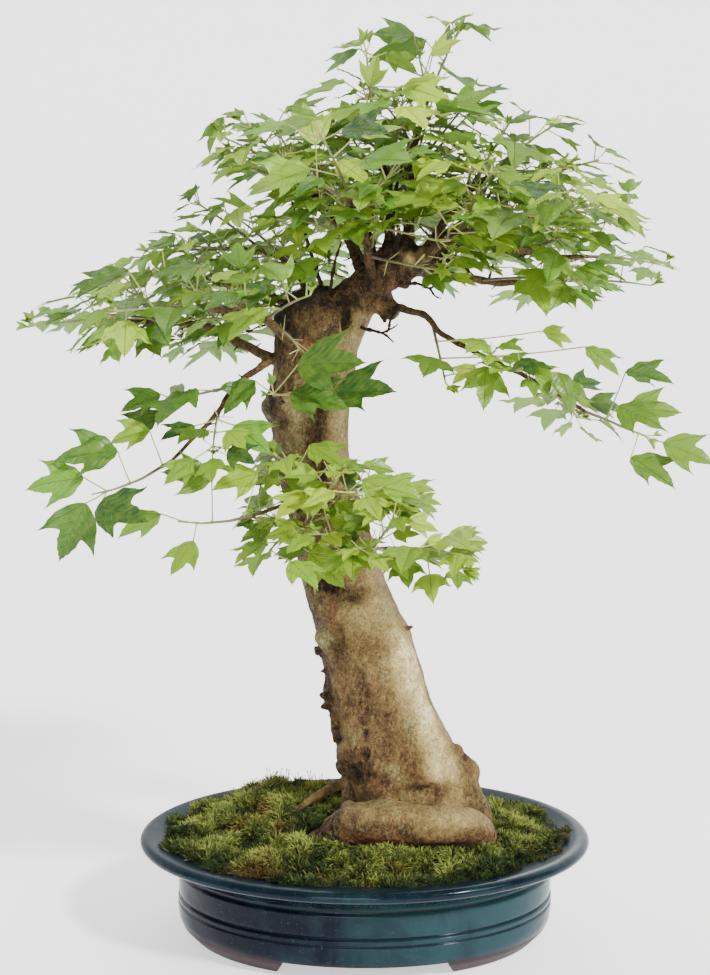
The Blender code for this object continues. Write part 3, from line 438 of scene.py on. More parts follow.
def bough_path(name, steps):
    points, base, tip = BOUGHS[name][:3]
    radii = [base + (tip - base) * i / (len(points) - 1) for i in range(len(points))]
    return smooth_path([(*p, r) for p, r in zip(points, radii)], steps)


def make_solid_trunk():
    """Trunk, roots, leader and boughs: one grown body."""
    trunk = new_object("trunk", *trunk_skin())
    limbs = [new_object("leader", *limb(*LEADER, 9, LEADER_SIDES))]
    for points, radii in ROOTS.values():
        limbs.append(new_object("root", *limb(points, radii, ROOT_STEPS, ROOT_SIDES)))
    for name, (points, *_) in BOUGHS.items():
        rows = bough_path(name, len(points) + 1)
        sides = BOUGH_SIDES if rows[0][3] > TWIG_RADIUS else TWIG_SIDES
        limbs.append(new_object(name, *row_tube(rows, sides)))
    return apply_boolean(trunk, limbs, "UNION")


def seen(point):
    """Where the line of sight to a point crosses the upright plane through the pot's middle."""
    eye = Vector(VIEWPOINT)
    along = (Vector(point) - eye) * (-eye.y / (point[1] - eye.y))
    return eye.x + along.x, eye.z + along.z


def is_inside(outline, x, z):
    inside = False
    for (x0, z0), (x1, z1) in zip(outline, outline[1:] + outline[:1]):
        if (z0 > z) != (z1 > z) and x < x0 + (x1 - x0) * (z - z0) / (z1 - z0):
            inside = not inside
    return inside


class Leaf:
    """One blade on its stalk: where the stalk starts and ends, the blade's axes and its form."""

    def __init__(self, start, end, ahead, up, length, fold, droop):
        self.start, self.end, self.length = start, end, length
        self.ahead = ahead.normalized()
        self.up = (up - self.ahead * up.dot(self.ahead)).normalized()
        self.right = self.ahead.cross(self.up)
        self.fold, self.droop, self.yellow = fold, droop, None

    def place(self, x, y, lift=0.0):
        """A point of the blade, x to the right and y ahead as shares of its length."""
        z = self.fold * abs(x) - self.droop * y * y
        flat = self.right * x + self.ahead * y + self.up * z
        return self.end + flat * self.length + self.up * lift

    def outline(self):
        right = [self.place(x, y) for x, y in LEAF_HALF]
        left = [self.place(-x, y) for x, y in reversed(LEAF_HALF)]
        return [*right, self.place(0, 1), *left]

    def keep_out(self, clear=CLEAR):
        """A fatter blade and stalk, as two small trees of triangles to test others against."""
        middle = self.place(0, 0.5)
        grown = [p + (p - middle).normalized() * clear for p in (self.end, *self.outline())]
        hub = self.place(0, LEAF_HUB)
        lift = self.up * (LEAF_THICKNESS / 2 + clear)
        points = [p + lift for p in grown] + [p - lift for p in grown] + [hub + lift, hub - lift]
        n = len(grown)
        faces = [(i, (i + 1) % n, 2 * n) for i in range(n)]
        faces += [(n + i, n + (i + 1) % n, 2 * n + 1) for i in range(n)]
        faces += [(i, (i + 1) % n, n + (i + 1) % n) for i in range(n)]
        faces += [(i, n + (i + 1) % n, n + i) for i in range(n)]
        blade = BVHTree.FromPolygons(points, faces)
        bare = self.start.lerp(self.end, min(0.5, 5 / (self.end - self.start).length))
        stalk = BVHTree.FromPolygons(*tube([bare, self.end], [STALK_RADIUS + clear] * 2, 4))
        return blade, stalk


class Stem:
    """A leafy stem: its path in millimetres from the bough's middle line, and its leaves."""

    def __init__(self, name, bough, path):
        self.name, self.path = name, [Vector(p) for p in path]
        self.leaf_length, self.yellow = BOUGHS[bough][4:6]
        self.outline = OUTLINES[BOUGHS[bough][6]]
        self.to_front = FACING_FRONT if BOUGHS[bough][6] == "crown" else LOW_FACING_FRONT
        self.length = sum((b - a).length for a, b in zip(self.path, self.path[1:]))
        self.leaves = []
        self.start, self.bare_stalks = 0, False

    def keep_out(self):
        """A fatter stem from where it leaves the bark, to test others against."""
        path = [self.at(s)[0] for s in np.linspace(self.start, 1, 6)]
        return BVHTree.FromPolygons(*tube(path, [STEM_RADIUS + CLEAR] * len(path), 4))

    def leave(self, bark):
        """Starts the stem where its full width is clear of the bark by the gap all the way on."""
        for step in range(200, -1, -1):
            share = step / 200
            for p in (*self.corners(share), self.at(share)[0]):
                near, normal, _, gap = bark.find_nearest(p)
                if gap < GAP or (p - near).dot(normal) < 0:
                    self.start = min(share + 0.005, 1)
                    return self
        return self

    def at(self, share):
        """The point at a share of the stem's length, and the way that the stem heads there."""
        left = min(max(share, 0), 1) * self.length
        for a, b in zip(self.path, self.path[1:]):
            step = (b - a).length
            if left <= step or b is self.path[-1]:
                return a + (b - a) * (left / step), (b - a) / step
            left -= step

    def frame(self, share):
        """The point at share, the way ahead there, and two directions across the stem."""
        point, ahead = self.at(share)
        across = ahead.cross(UP).normalized()
        return point, ahead, across, ahead.cross(across)

    def nearest_node(self, share):
        """A share where leaves already grow, if one is close enough to be the same node."""
        for at, _, _ in self.leaves:
            if at < 1 and abs(at - share) * self.length < NODE_APART:
                return at
        return share

    def radius(self, share):
        return STEM_RADIUS + (STEM_TIP_RADIUS - STEM_RADIUS) * share

    def corners(self, share):
        """The stem's four corners at share, with its faces 0 to 3 between them."""
        point, _, across, over = self.frame(share)
        out = []
        for k in range(STEM_SIDES):
            turn = math.radians(45 + 90 * k)
            out.append(point + (across * math.cos(turn) + over * math.sin(turn))
                       * self.radius(share))
        return out

    def face_of(self, share, towards):
        """The side of the stem that looks most nearly towards a direction."""
        _, _, across, over = self.frame(share)
        sides = [over, -across, -over, across]
        return max(range(STEM_SIDES), key=lambda k: sides[k].dot(towards))


def stem_from(name, bough, i, side, angle, rise, length, bend, bends_at=None):
    """A stem off point i of the bough's path, cut back until it ends inside its outline. It bends
    in full at the length bends_at, or else at any length."""
    rows = [Vector(row[:3]) for row in bough_path(bough, BOUGH_STEPS + 1)]
    ahead = (rows[min(i + 1, BOUGH_STEPS)] - rows[i - 1]).normalized()
    across = ahead.cross(UP).normalized() * side
    heading = ahead * math.cos(angle) + across * math.sin(angle)
    heading.z += rise
    heading.normalize()
    outline = OUTLINES[BOUGHS[bough][6]]
    while length > SHORTEST_STEM and not is_inside(
            outline, *seen(rows[i] + heading * (length + STEM_MARGIN))):
        length *= 0.93
    bend = Vector(bend) * (length / bends_at if bends_at else 1)
    path = [rows[i] + heading * (length * s) + bend * s * s for s in np.linspace(0, 1, 5)]
    return Stem(name, bough, path)


def draft_stem(bough, n, draw):
    """A stem off a bough: the first grows from its tip and the others to either side in turn."""
    back = 0.6 * n / max(BOUGHS[bough][3] - 1, 1)
    i = BOUGH_STEPS if n == 0 else round(BOUGH_STEPS * (1 - back))
    angle = math.radians(draw.uniform(-6, 6) if n == 0 else STEM_ANGLE + draw.uniform(-16, 20))
    rise = math.tan(math.radians(STEM_RISE + draw.uniform(-14, 22))) * (n > 0)
    length = STEM_LENGTH * draw.uniform(0.8, 1.15)
    bend = (draw.uniform(-5, 5), draw.uniform(-5, 5), -9)
    return stem_from(f"{bough}_{n + 1}", bough, i, 1 if n % 2 else -1, angle, rise, length, bend,
                     STEM_LENGTH)


def add_first_clear(draft, bark, stems, trees):
    """Adds the first stem drafted that is clear of the bark and of the stems before it."""
    for _ in range(STEM_TRIES):
        stem = draft().leave(bark)
        tree = stem.keep_out()
        if stem.start * stem.length < LONGEST_BURIED and not any(
                tree.overlap(other) for other in trees):
            stems.append(stem)
            trees.append(tree)
            return


def grow_stems(bark):
    """Leafy stems along each bough, each clear of the bark and of the stems before it."""
    names = [(bough, n) for bough in BOUGHS for n in range(BOUGHS[bough][3])]
    stems = [Stem(f"{bough}_{n + 1}", bough, SHOOTS[f"{bough}_{n + 1}"]).leave(bark)
             for bough, n in names if f"{bough}_{n + 1}" in SHOOTS]
    trees = [stem.keep_out() for stem in stems]
    for bough, n in names:
        if f"{bough}_{n + 1}" not in SHOOTS:
            draw = random.Random(f"stem {bough} {n}")
            add_first_clear(lambda: draft_stem(bough, n, draw), bark, stems, trees)
    return stems, trees


class Crown:
    """All that is placed so far, to keep the next leaf clear of it."""

    def __init__(self, bark, stems, trees):
        self.bark, self.kept, self.clear = bark, [], CLEAR
        self.stems = list(zip(stems, trees))

    def is_free(self, stem, leaf):
        blade, stalk = leaf.keep_out(self.clear)
        if blade.overlap(self.bark) or stalk.overlap(self.bark):
            return False
        for other, tree in self.stems:
            if blade.overlap(tree) or (other is not stem and stalk.overlap(tree)):
                return False
        reach = 1.2 * leaf.length + (leaf.end - leaf.start).length
        for middle, other_reach, other_blade, other_stalk in self.kept:
            if (middle - leaf.end).length > reach + other_reach:
                continue
            if blade.overlap(other_blade) or blade.overlap(other_stalk):
                return False
            if stalk.overlap(other_blade) or stalk.overlap(other_stalk):
                return False
        return True

    def place(self, stem, leaf, share):
        """Keeps the leaf on a free face of the stem if it is clear of all that is there."""
        taken = [face for at, face, _ in stem.leaves if at == share]
        face = stem.face_of(share, leaf.end - leaf.start)
        if face in taken or share != stem.nearest_node(share) or not self.is_free(stem, leaf):
            return False
        self.kept.append((leaf.end, 1.2 * leaf.length + (leaf.end - leaf.start).length,
                          *leaf.keep_out(self.clear)))
        stem.leaves.append((share, face, leaf))
        return True


def tilted_up(point, draw, to_front):
    """Which way a blade faces: up, tipped out from the trunk and towards the light in front."""
    out = Vector((point.x - LEADER[0][-1][0], point.y, 0)).normalized() * FACING_OUT
    return Vector((out.x + draw.uniform(-0.35, 0.35),
                   out.y - to_front + draw.uniform(-0.35, 0.35), 1))


def draft_leaf(stem, share, roll, angle, size, draw, attempt):
    """A leaf on stem at share of its length, roll degrees round it and angle degrees off it."""
    loose = min(attempt, 10) / 10
    roll += draw.uniform(-16, 16) * (1 + 2 * loose)
    angle += draw.uniform(-10, 10) * (1 + 2 * loose)
    foot, along, across, over = stem.frame(share)
    turn, lean = math.radians(roll), math.radians(angle)
    out = across * math.cos(turn) - over * math.sin(turn)
    heading = (along * math.cos(lean) + out * math.sin(lean)).normalized()
    length = stem.leaf_length * size * draw.uniform(0.88, 1.14) * (1 - 0.3 * loose)
    stalk = length * STALK_SHARE * draw.uniform(0.7, 1.25)
    sag = Vector((0, 0, -0.1 - 0.1 * draw.random()))
    end = foot + (heading + sag).normalized() * stalk
    ahead = Vector((heading.x, heading.y, heading.z * 0.4 - draw.uniform(0.15, 0.6)))
    facing = tilted_up(end, draw, stem.to_front)
    return Leaf(foot, end, ahead, facing, length,
                draw.uniform(0.05, 0.36), draw.uniform(0.02, 0.2))


def is_in_view_outline(stem, leaf):
    points = [seen(p) for p in (leaf.end, *leaf.outline())]
    if leaf.end.y < 0 and any(is_inside(WINDOW, *p) for p in points):
        return False
    return all(is_inside(stem.outline, *p) for p in points)


def place_leaf(crown, stem, label, share, roll, angle, size):
    """The first leaf drafted that stays in its outline and clear of all that is there."""
    draw = random.Random(f"leaf {stem.name} {label}")
    share = stem.nearest_node(share)
    for attempt in range(LEAF_TRIES):
        leaf = draft_leaf(stem, share, roll, angle, size, draw, attempt)
        if is_in_view_outline(stem, leaf) and crown.place(stem, leaf, share):
            return


def grow_pairs(crown, stem, spacing, shares, angle, sizes, tip_size):
    """Pairs of leaves along a stem, each turned across the one before, and one leaf at its tip.
    shares and sizes each give the first pair's value and what is added or taken off by the last."""
    pairs = max(2, round(stem.length / spacing))
    for pair in range(pairs):
        share = shares[0] + shares[1] * pair / (pairs - 1)
        size = sizes[0] - sizes[1] * pair / (pairs - 1)
        turn = PAIR_TURNS[pair % 2]
        for side, roll in enumerate((turn, 180 - turn)):
            place_leaf(crown, stem, f"{pair} {side}", share, roll, angle, size)
    place_leaf(crown, stem, "tip", 1, 90, TIP_ANGLE, tip_size)


def grow_leaves(bark, stems, trees):
    """The leaves that stand apart, then pairs along each stem and one leaf at its tip."""
    crown = Crown(bark, stems, trees)
    for stem in stems:
        draw = random.Random(f"single {stem.name}")
        for base, tip in SINGLE_LEAVES.get(stem.name, ()):
            base, tip = Vector(base), Vector(tip)
            near = min(range(12), key=lambda k: (stem.at(0.12 + 0.07 * k)[0] - base).length)
            share = 0.12 + 0.07 * near
            for nearby in (share, share - 0.07, share + 0.07, share - 0.14, share + 0.14):
                nearby = stem.nearest_node(nearby)
                leaf = Leaf(stem.at(nearby)[0], base, tip - base,
                            tilted_up(base, draw, SINGLE_FACING_FRONT), (tip - base).length,
                            draw.uniform(0.05, 0.3), draw.uniform(0.02, 0.15))
                if 0.1 < nearby < 0.95 and crown.place(stem, leaf, nearby):
                    break
    for stem in stems:
        if stem.name not in SINGLE_LEAVES or stem.name not in SHOOTS:
            grow_pairs(crown, stem, NODE_SPACING, (0.36, 0.56), 60, (1.06, 0.26), 0.78)
    return crown


# Leafy twigs between those of the solids: how many on each bough by its outline
FILL_STEMS = {"crown": 6, "middle": 4, "left_low": 1, "right_low": 3, "spur": 0}
MORE_FILL = {"apex": 5, "apex_left": 4, "left_crown": 2, "front_crown": 2, "right_back": -3,
             "back_right": -3, "right_low": -2, "left_twig": -1, "right_high": -1, "right": -1,
             "front_right": -1}
FILL_CLEAR, FILL_SPACING, FILL_SIZE = 0.15, 17, 0.84
# A shoot at the very top, with its leaves that stand apart: base, tip and how yellow
TOP_SHOOT = ((50, 28, 714), (53, 25, 733), (49, 18, 747), (46, 10, 758))
TOP_LEAVES = (
    ((58, -20, 771), (80, -28, 793), 0.1), ((40, -8, 779), (6, -16, 779), 0.1),
    ((6, 0, 768), (-32, -8, 773), 0.05), ((53, -34, 758), (77, -42, 771), 0.9),
    ((39, -38, 752), (77, -46, 743), 0), ((-6, -14, 765), (-35, -22, 744), 0),
    ((4, -30, 733), (9, -38, 758), 1), ((72, -20, 719), (106, -28, 730), 0.2),
    ((28, -36, 723), (-8, -44, 727), 0.3),
)


def draft_fill(bough, n, draw):
    """A twig off anywhere on a bough but its foot, to either side."""
    i, side = draw.randrange(7, BOUGH_STEPS + 1), draw.choice((-1, 1))
    angle, rise = math.radians(draw.uniform(10, 100)), draw.uniform(-0.3, 0.8)
    length = draw.uniform(38, 84)
    bend = (draw.uniform(-8, 8), draw.uniform(-8, 8), draw.uniform(-12, 6))
    return stem_from(f"{bough}_fill_{n + 1}", bough, i, side, angle, rise, length, bend)


def grow_top(bark, crown):
    """The shoot at the very top, each of its leaves as near the front as there is room."""
    shoot = Stem("apex_fill_0", "apex", TOP_SHOOT).leave(bark)
    draw = random.Random("top")
    for base, tip, yellow in TOP_LEAVES:
        base, tip = Vector(base), Vector(tip)
        sight = (base - Vector(VIEWPOINT)).normalized()
        placed = False
        for shift in (0, 8, -8, 16, -16, 24, -24, 34, 44):
            start, end = base + sight * shift, tip + sight * shift
            for share in (0.98, 0.84, 0.68, 0.52, 0.36):
                leaf = Leaf(shoot.at(share)[0], start, end - start, tilted_up(start, draw, 0.8),
                            (end - start).length, draw.uniform(0.1, 0.3), draw.uniform(0, 0.1))
                leaf.yellow = yellow
                if not placed and crown.place(shoot, leaf, share):
                    placed = True
    return shoot


def grow_fill(bark, trees, crown):
    """More leafy twigs, with smaller leaves that may stand closer, to close the crown."""
    crown.clear = FILL_CLEAR
    top = grow_top(bark, crown)
    crown.stems.append((top, top.keep_out()))
    stems, trees, before = [], list(trees), len(trees)
    for bough in BOUGHS:
        for n in range(FILL_STEMS[BOUGHS[bough][6]] + MORE_FILL.get(bough, 0)):
            draw = random.Random(f"fill {bough} {n}")
            add_first_clear(lambda: draft_fill(bough, n, draw), bark, stems, trees)
    crown.stems += zip(stems, trees[before:])
    for stem in stems:
        stem.leaf_length *= FILL_SIZE
        stem.bare_stalks = True
        grow_pairs(crown, stem, FILL_SPACING, (0.3, 0.62), 58, (0.96, 0.186), 0.7)
    return [*stems, top]


def bark_tree(trunk):
    """The trunk's surface in millimetres, to find what touches it."""
    mesh = trunk.data
    points = [v.co / MM for v in mesh.vertices]
    return BVHTree.FromPolygons(points, [tuple(face.vertices) for face in mesh.polygons])


class Value:
    """What a node gives out. Sums with it make the Math nodes that they need."""

    def __init__(self, finish, socket):
        self.finish, self.socket = finish, socket

    def __add__(self, other):
        return self.finish.math("ADD", self, other)

    def __sub__(self, other):
        return self.finish.math("SUBTRACT", self, other)

    def __mul__(self, other):
        return self.finish.math("MULTIPLY", self, other)

    def __abs__(self):
        return self.finish.math("ABSOLUTE", self)


class Finish:
    """One material, with short ways to wire its nodes. Values go straight on the shader."""

    def __init__(self, name, **values):
        self.made = bpy.data.materials.new(name)
        self.made.use_nodes = True
        self.nodes, self.links = self.made.node_tree.nodes, self.made.node_tree.links
        self.shader = self.nodes["Principled BSDF"]
        self.where = Value(self, self.nodes.new("ShaderNodeTexCoord").outputs["Object"])
        for key, value in values.items():
            self.shader.inputs[key.replace("_", " ")].default_value = value

    def set(self, socket, value):
        if isinstance(value, Value):
            self.links.new(value.socket, socket)
        elif isinstance(value, tuple) and len(value) == 3 and socket.type == "RGBA":
            socket.default_value = (*value, 1)
        else:
            socket.default_value = value

    def node(self, kind, inputs, out=0, **settings):
        made = self.nodes.new("ShaderNode" + kind)
        for key, value in settings.items():
            setattr(made, key, value)
        for key, value in inputs.items():
            self.set(made.inputs[key], value)
        return Value(self, made.outputs[out])

    def noise(self, scale, stretch=(1, 1, 1), detail=4, roughness=0.55, distortion=0.0):
        """Noise between about 0.3 and 0.7, with scale in waves per metre."""
        vector = self.where
        if stretch != (1, 1, 1):
            vector = self.node("Mapping", {"Vector": vector, "Scale": stretch})
        return self.node("TexNoise", {"Vector": vector, "Scale": scale, "Detail": detail,
                                      "Roughness": roughness, "Distortion": distortion})

    def cells(self, scale, vector=None):
        """Cells that each have a value of their own from 0 to 1."""
        cell = self.node("TexVoronoi", {"Vector": vector or self.where, "Scale": scale}, 1)
        return self.channels(cell)[0]

    def spread(self, value, low, high, to_low=0.0, to_high=1.0):
        return self.node("MapRange", {"Value": value, "From Min": low, "From Max": high,
                                      "To Min": to_low, "To Max": to_high})

    def math(self, kind, a, b=0.0):
        return self.node("Math", {0: a, 1: b}, operation=kind)

    def ramp(self, value, stops):
        made = self.nodes.new("ShaderNodeValToRGB")
        self.set(made.inputs[0], value)
        row = made.color_ramp.elements
        while len(row) < len(stops):
            row.new(0.5)
        for element, (at, colour) in zip(row, stops):
            element.position, element.color = at, (*colour, 1)
        return Value(self, made.outputs[0])

    def grey(self, value):
        return self.node("CombineColor", {0: value, 1: value, 2: value})

    def mix(self, share, a, b, kind="MIX"):
        return self.node("Mix", {0: share, 6: a, 7: b}, 2, data_type="RGBA", blend_type=kind)

    def tint(self):
        return self.node("Attribute", {}, attribute_name="tint")

    def channels(self, colour):
        split = self.nodes.new("ShaderNodeSeparateColor")
        self.set(split.inputs[0], colour)
        return [Value(self, split.outputs[k]) for k in range(3)]

    def bump(self, height, distance, strength=1.0):
        self.set(self.shader.inputs["Normal"],
                 self.node("Bump", {"Height": height, "Distance": distance,
                                    "Strength": strength}))

    def base(self, colour):
        self.set(self.shader.inputs["Base Color"], colour)
        return self.made


def leaf_finish():
    """Three main veins and side veins from the blade's own coordinates; green to yellow by tint."""
    f = Finish("leaf", Roughness=0.38)
    facing = f.node("LayerWeight", {"Blend": 0.5}, 1)
    f.set(f.shader.inputs["Specular IOR Level"], f.spread(facing, 0.25, 0.75, 0.42, 0.01))
    yellow, bright, under = f.channels(f.tint())
    u, v = (f.node("SeparateXYZ", {0: f.node("UVMap", {})}, k) for k in range(2))
    x = abs((u - 0.5) * 1.1)
    green = f.mix(bright, (0.008, 0.044, 0.008), (0.115, 0.27, 0.022))
    colour = f.mix(yellow, green, f.mix(bright, (0.16, 0.28, 0.012), (0.42, 0.56, 0.03)))
    patch = f.noise(140, detail=3)
    colour = f.mix(f.spread(patch, 0.35, 0.7, 0, 0.3), colour, (0.20, 0.33, 0.03))
    middle = f.spread(x, 0.002, 0.011, 1, 0)
    lobes = f.spread(abs(x * 0.794 - v * 0.607), 0.002, 0.009, 0.9, 0)
    rows = f.math("FRACT", (v - x * 0.85) * 9)
    rows = f.spread(abs(rows - 0.5), 0.02, 0.12, 0.35, 0)
    veins = f.math("MAXIMUM", f.math("MAXIMUM", middle, lobes), rows)
    colour = f.mix(veins * 0.5, colour, f.mix(0.45, colour, (0.30, 0.42, 0.08)))
    # The underside is paler, and is lifted further as painted light that stands in for light
    # shining through the blade.
    colour = f.mix(under, colour, f.mix(0.55, colour, (0.22, 0.39, 0.07)))
    f.bump(patch * 0.6 - veins * 0.8, 0.0011)
    return f.base(colour)


def twig_finish():
    f = Finish("twig", Roughness=0.6)
    grain = f.noise(900, (1, 1, 0.3))
    f.bump(grain, 0.0004, 0.5)
    return f.base(f.mix(1.0, f.tint(), f.grey(f.spread(grain, 0.35, 0.7, 0.72, 1.2)), "MULTIPLY"))


SOIL_GRAINS = 320  # per metre
BARK_RAMP = ((0.0, (0.011, 0.006, 0.003)), (0.14, (0.045, 0.023, 0.008)),
             (0.28, (0.115, 0.062, 0.020)), (0.45, (0.19, 0.122, 0.038)),
             (0.6, (0.265, 0.188, 0.065)), (0.75, (0.35, 0.262, 0.10)), (0.9, (0.47, 0.375, 0.16)),
             (1.0, (0.70, 0.61, 0.35)))


def bark_finish():
    """Mottled, flaking bark. Of its tint, red says how pale it is, green how rusty, and blue how
    grey-green; noise of three sizes breaks all of them up."""
    f = Finish("bark", Roughness=0.75, Specular_IOR_Level=0.3)
    pale, rust, moss = f.channels(f.tint())
    wide = f.noise(62, (1, 1, 0.6), 6, 0.62, 0.6)
    patch = f.noise(430, (1, 1, 0.7), 5, 0.7, 0.2)
    warp = f.node("TexNoise", {"Vector": f.where, "Scale": 55, "Detail": 3}, 1)
    warp = f.node("VectorMath", {0: warp, 1: (0.03, 0.03, 0.045)}, operation="MULTIPLY")
    warp = f.node("VectorMath", {0: f.node("Mapping", {"Vector": f.where, "Scale": (1, 1, 0.55)}),
                                 1: warp}, operation="ADD")
    flake = (f.cells(105, warp) - 0.5) * 0.10 + (f.cells(330, warp) - 0.5) * 0.11
    grain = f.noise(1300, (1, 1, 0.6), 3, 0.6)
    shift = wide * 0.4 + patch * 0.95 + grain * 0.65 - 1.0 + flake
    colour = f.ramp(pale + shift, BARK_RAMP)
    blotch = f.spread(patch, 0.4, 0.6)
    rust = f.spread(rust + shift * 1.2, 0.35, 0.75)
    colour = f.mix(rust * 0.8, colour, f.mix(blotch, (0.09, 0.028, 0.010), (0.28, 0.125, 0.042)))
    moss = f.spread(moss + shift * 1.2, 0.3, 0.8)
    colour = f.mix(moss * 0.7, colour, f.mix(blotch, (0.12, 0.12, 0.036), (0.34, 0.36, 0.19)))
    speck = f.node("TexVoronoi", {"Vector": f.where, "Scale": 210})
    colour = f.mix(f.spread(speck, 0.08, 0.2, 0.75, 0), colour, (0.035, 0.02, 0.01))
    fleck = f.spread(f.noise(250, (1, 1, 0.7), 3, 0.7), 0.6, 0.66, 0, 0.6)
    colour = f.mix(fleck, colour, f.mix(0.3, (0.085, 0.06, 0.022), colour))
    crack = f.node("TexVoronoi", {"Vector": warp, "Scale": 130}, feature="DISTANCE_TO_EDGE")
    crack = f.spread(crack, 0, 0.07, 1, 0) * f.spread(patch, 0.42, 0.56)
    crack = crack * f.spread(pale + shift, 0.52, 0.3)
    colour = f.mix(crack * 0.8, colour, (0.018, 0.009, 0.004))
    relief = wide * 1.2 + patch * 1.0 - crack * 0.35 + grain * 0.4 + flake * 1.5
    f.bump(relief, 0.007, f.spread(pale, 0.15, 0.7, 1.0, 0.55))
    return f.base(colour)


def glaze_finish():
    """A running teal glaze, blue-black where it is thick and brown where it thins at the foot, with
    painted shade darkening its left side.
    """
    f = Finish("glaze", Specular_Tint=(0.72, 0.8, 1.0, 1))
    height = f.node("SeparateXYZ", {0: f.where}, 2) - FOOT_DROP * MM
    run = f.noise(20, (1, 1, 0.7), 5, 0.6, 0.8)
    spot = f.noise(420, detail=3)
    # Painted shade: the glaze is shifted to navy on the left side, away from the light, and to teal
    # on the right.
    side = f.spread(f.node("SeparateXYZ", {0: f.where}), -0.12, 0.14)
    flow_and_side_shade = run + (side - 0.5) * 0.55
    teal = f.mix(f.spread(flow_and_side_shade, 0.3, 0.75), (0.002, 0.0034, 0.0075), (0.013, 0.036, 0.041))
    navy = f.mix(f.spread(run, 0.4, 0.7), (0.003, 0.006, 0.012), (0.008, 0.026, 0.028))
    colour = f.mix(f.spread(height, 0.060, 0.074), teal, navy)
    across = f.node("VectorMath", {0: f.where, 1: (2 / LIP_LENGTH / MM, 2 / LIP_WIDTH / MM, 0)},
                    operation="MULTIPLY")
    reach = f.node("VectorMath", {0: across}, 1, operation="LENGTH")
    top = f.spread(height, 0.080, 0.082) * f.spread(reach, 0.985, 0.965)
    colour = f.mix(top * 0.75, colour, (0.006, 0.015, 0.020))
    line = 0.0
    for groove in (0.028, 0.0344, 0.0575):
        near = f.spread(abs(height - groove), 0.0004, 0.0015, 0.85, 0)
        line = f.math("MAXIMUM", line, near)
    colour = f.mix(line, colour, (0.008, 0.010, 0.016))
    edge = f.spread(height + run * 0.008, 0.0165, 0.0125)
    colour = f.mix(edge, colour, (0.026, 0.012, 0.012))
    colour = f.mix(f.spread(spot, 0.62, 0.72, 0, 0.5), colour, (0.03, 0.06, 0.07))
    f.set(f.shader.inputs["Roughness"], f.math("MAXIMUM", f.spread(edge, 0, 1, 0.1, 0.5),
                                               f.spread(top, 0, 1, 0.1, 0.3)))
    f.set(f.shader.inputs["Specular IOR Level"], f.spread(top, 0, 1, 0.15, 0.04))
    f.bump(run + spot * 0.04, 0.0012, 0.5)
    return f.base(colour)


def soil_finish():
    f = Finish("soil", Roughness=0.95)
    f.bump(f.node("TexVoronoi", {"Vector": f.where, "Scale": SOIL_GRAINS}), 0.003)
    return f.base(f.mix(f.cells(SOIL_GRAINS), (0.03, 0.018, 0.011), (0.11, 0.065, 0.04)))


def moss_finish():
    f = Finish("moss", Roughness=0.85, Specular_IOR_Level=0.25)
    shade = f.spread(f.noise(600, detail=2), 0.3, 0.7, 0.75, 1.25)
    return f.base(f.mix(1.0, f.tint(), f.grey(shade), "MULTIPLY"))


LEAF_CREASE = 17  # degrees: blades folded by more than this keep a sharp crease


def build(name, points, faces, finishes, slot, tint=None, uv=None, which=None):
    """A piece from points in millimetres and its faces, that rides with the tree."""
    mesh = bpy.data.meshes.new(name)
    mesh.from_pydata((np.asarray(points, float) + PLACE) * MM, [], faces)
    for finish in finishes:
        mesh.materials.append(finish)
    if which is not None:
        mesh.polygons.foreach_set("material_index", np.asarray(which, np.int32))
    if tint is not None:
        rgba = np.ones((len(points), 4), np.float32)
        rgba[:, :3] = tint
        mesh.color_attributes.new("tint", "FLOAT_COLOR", "POINT").data.foreach_set(
            "color", rgba.ravel())
    if uv is not None:
        corners = np.empty(len(mesh.loops), np.int32)
        mesh.loops.foreach_get("vertex_index", corners)
        mesh.uv_layers.new(name="UVMap").data.foreach_set(
            "uv", np.asarray(uv, np.float32)[corners].ravel())
    mesh.shade_smooth()
    if "leaf" in slot:
        mesh.set_sharp_from_angle(angle=math.radians(LEAF_CREASE))
    obj = link_object(name, mesh)
    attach(obj, "root")
    return obj


# Right half of the fine outline: from the stalk to the side lobe's tip, and on to the middle tip
LOBE_OUTSIDE = ((0, 0), (0.06, 0.015), (0.155, 0.07), (0.26, 0.155), (0.35, 0.265), (0.41, 0.39),
                (0.445, 0.5), (0.475, 0.6), (0.545, 0.735))
LOBE_INSIDE = ((0.545, 0.735), (0.44, 0.645), (0.36, 0.602), (0.27, 0.568), (0.2, 0.56),
               (0.185, 0.61), (0.168, 0.7), (0.13, 0.795), (0.07, 0.885), (0.025, 0.95), (0, 1.03))
BLADE_GRID, FILL_GRID = 0.1, 0.16
BLADE_THICK, TWIG_ROUND = 0.4, 8
PAINTED_LIGHT_MIDDLE, PAINTED_LIGHT_REACH = (10, 10, 620), 250  # the leaves in here are painted brighter: painted light where the crown's inside lies in shade


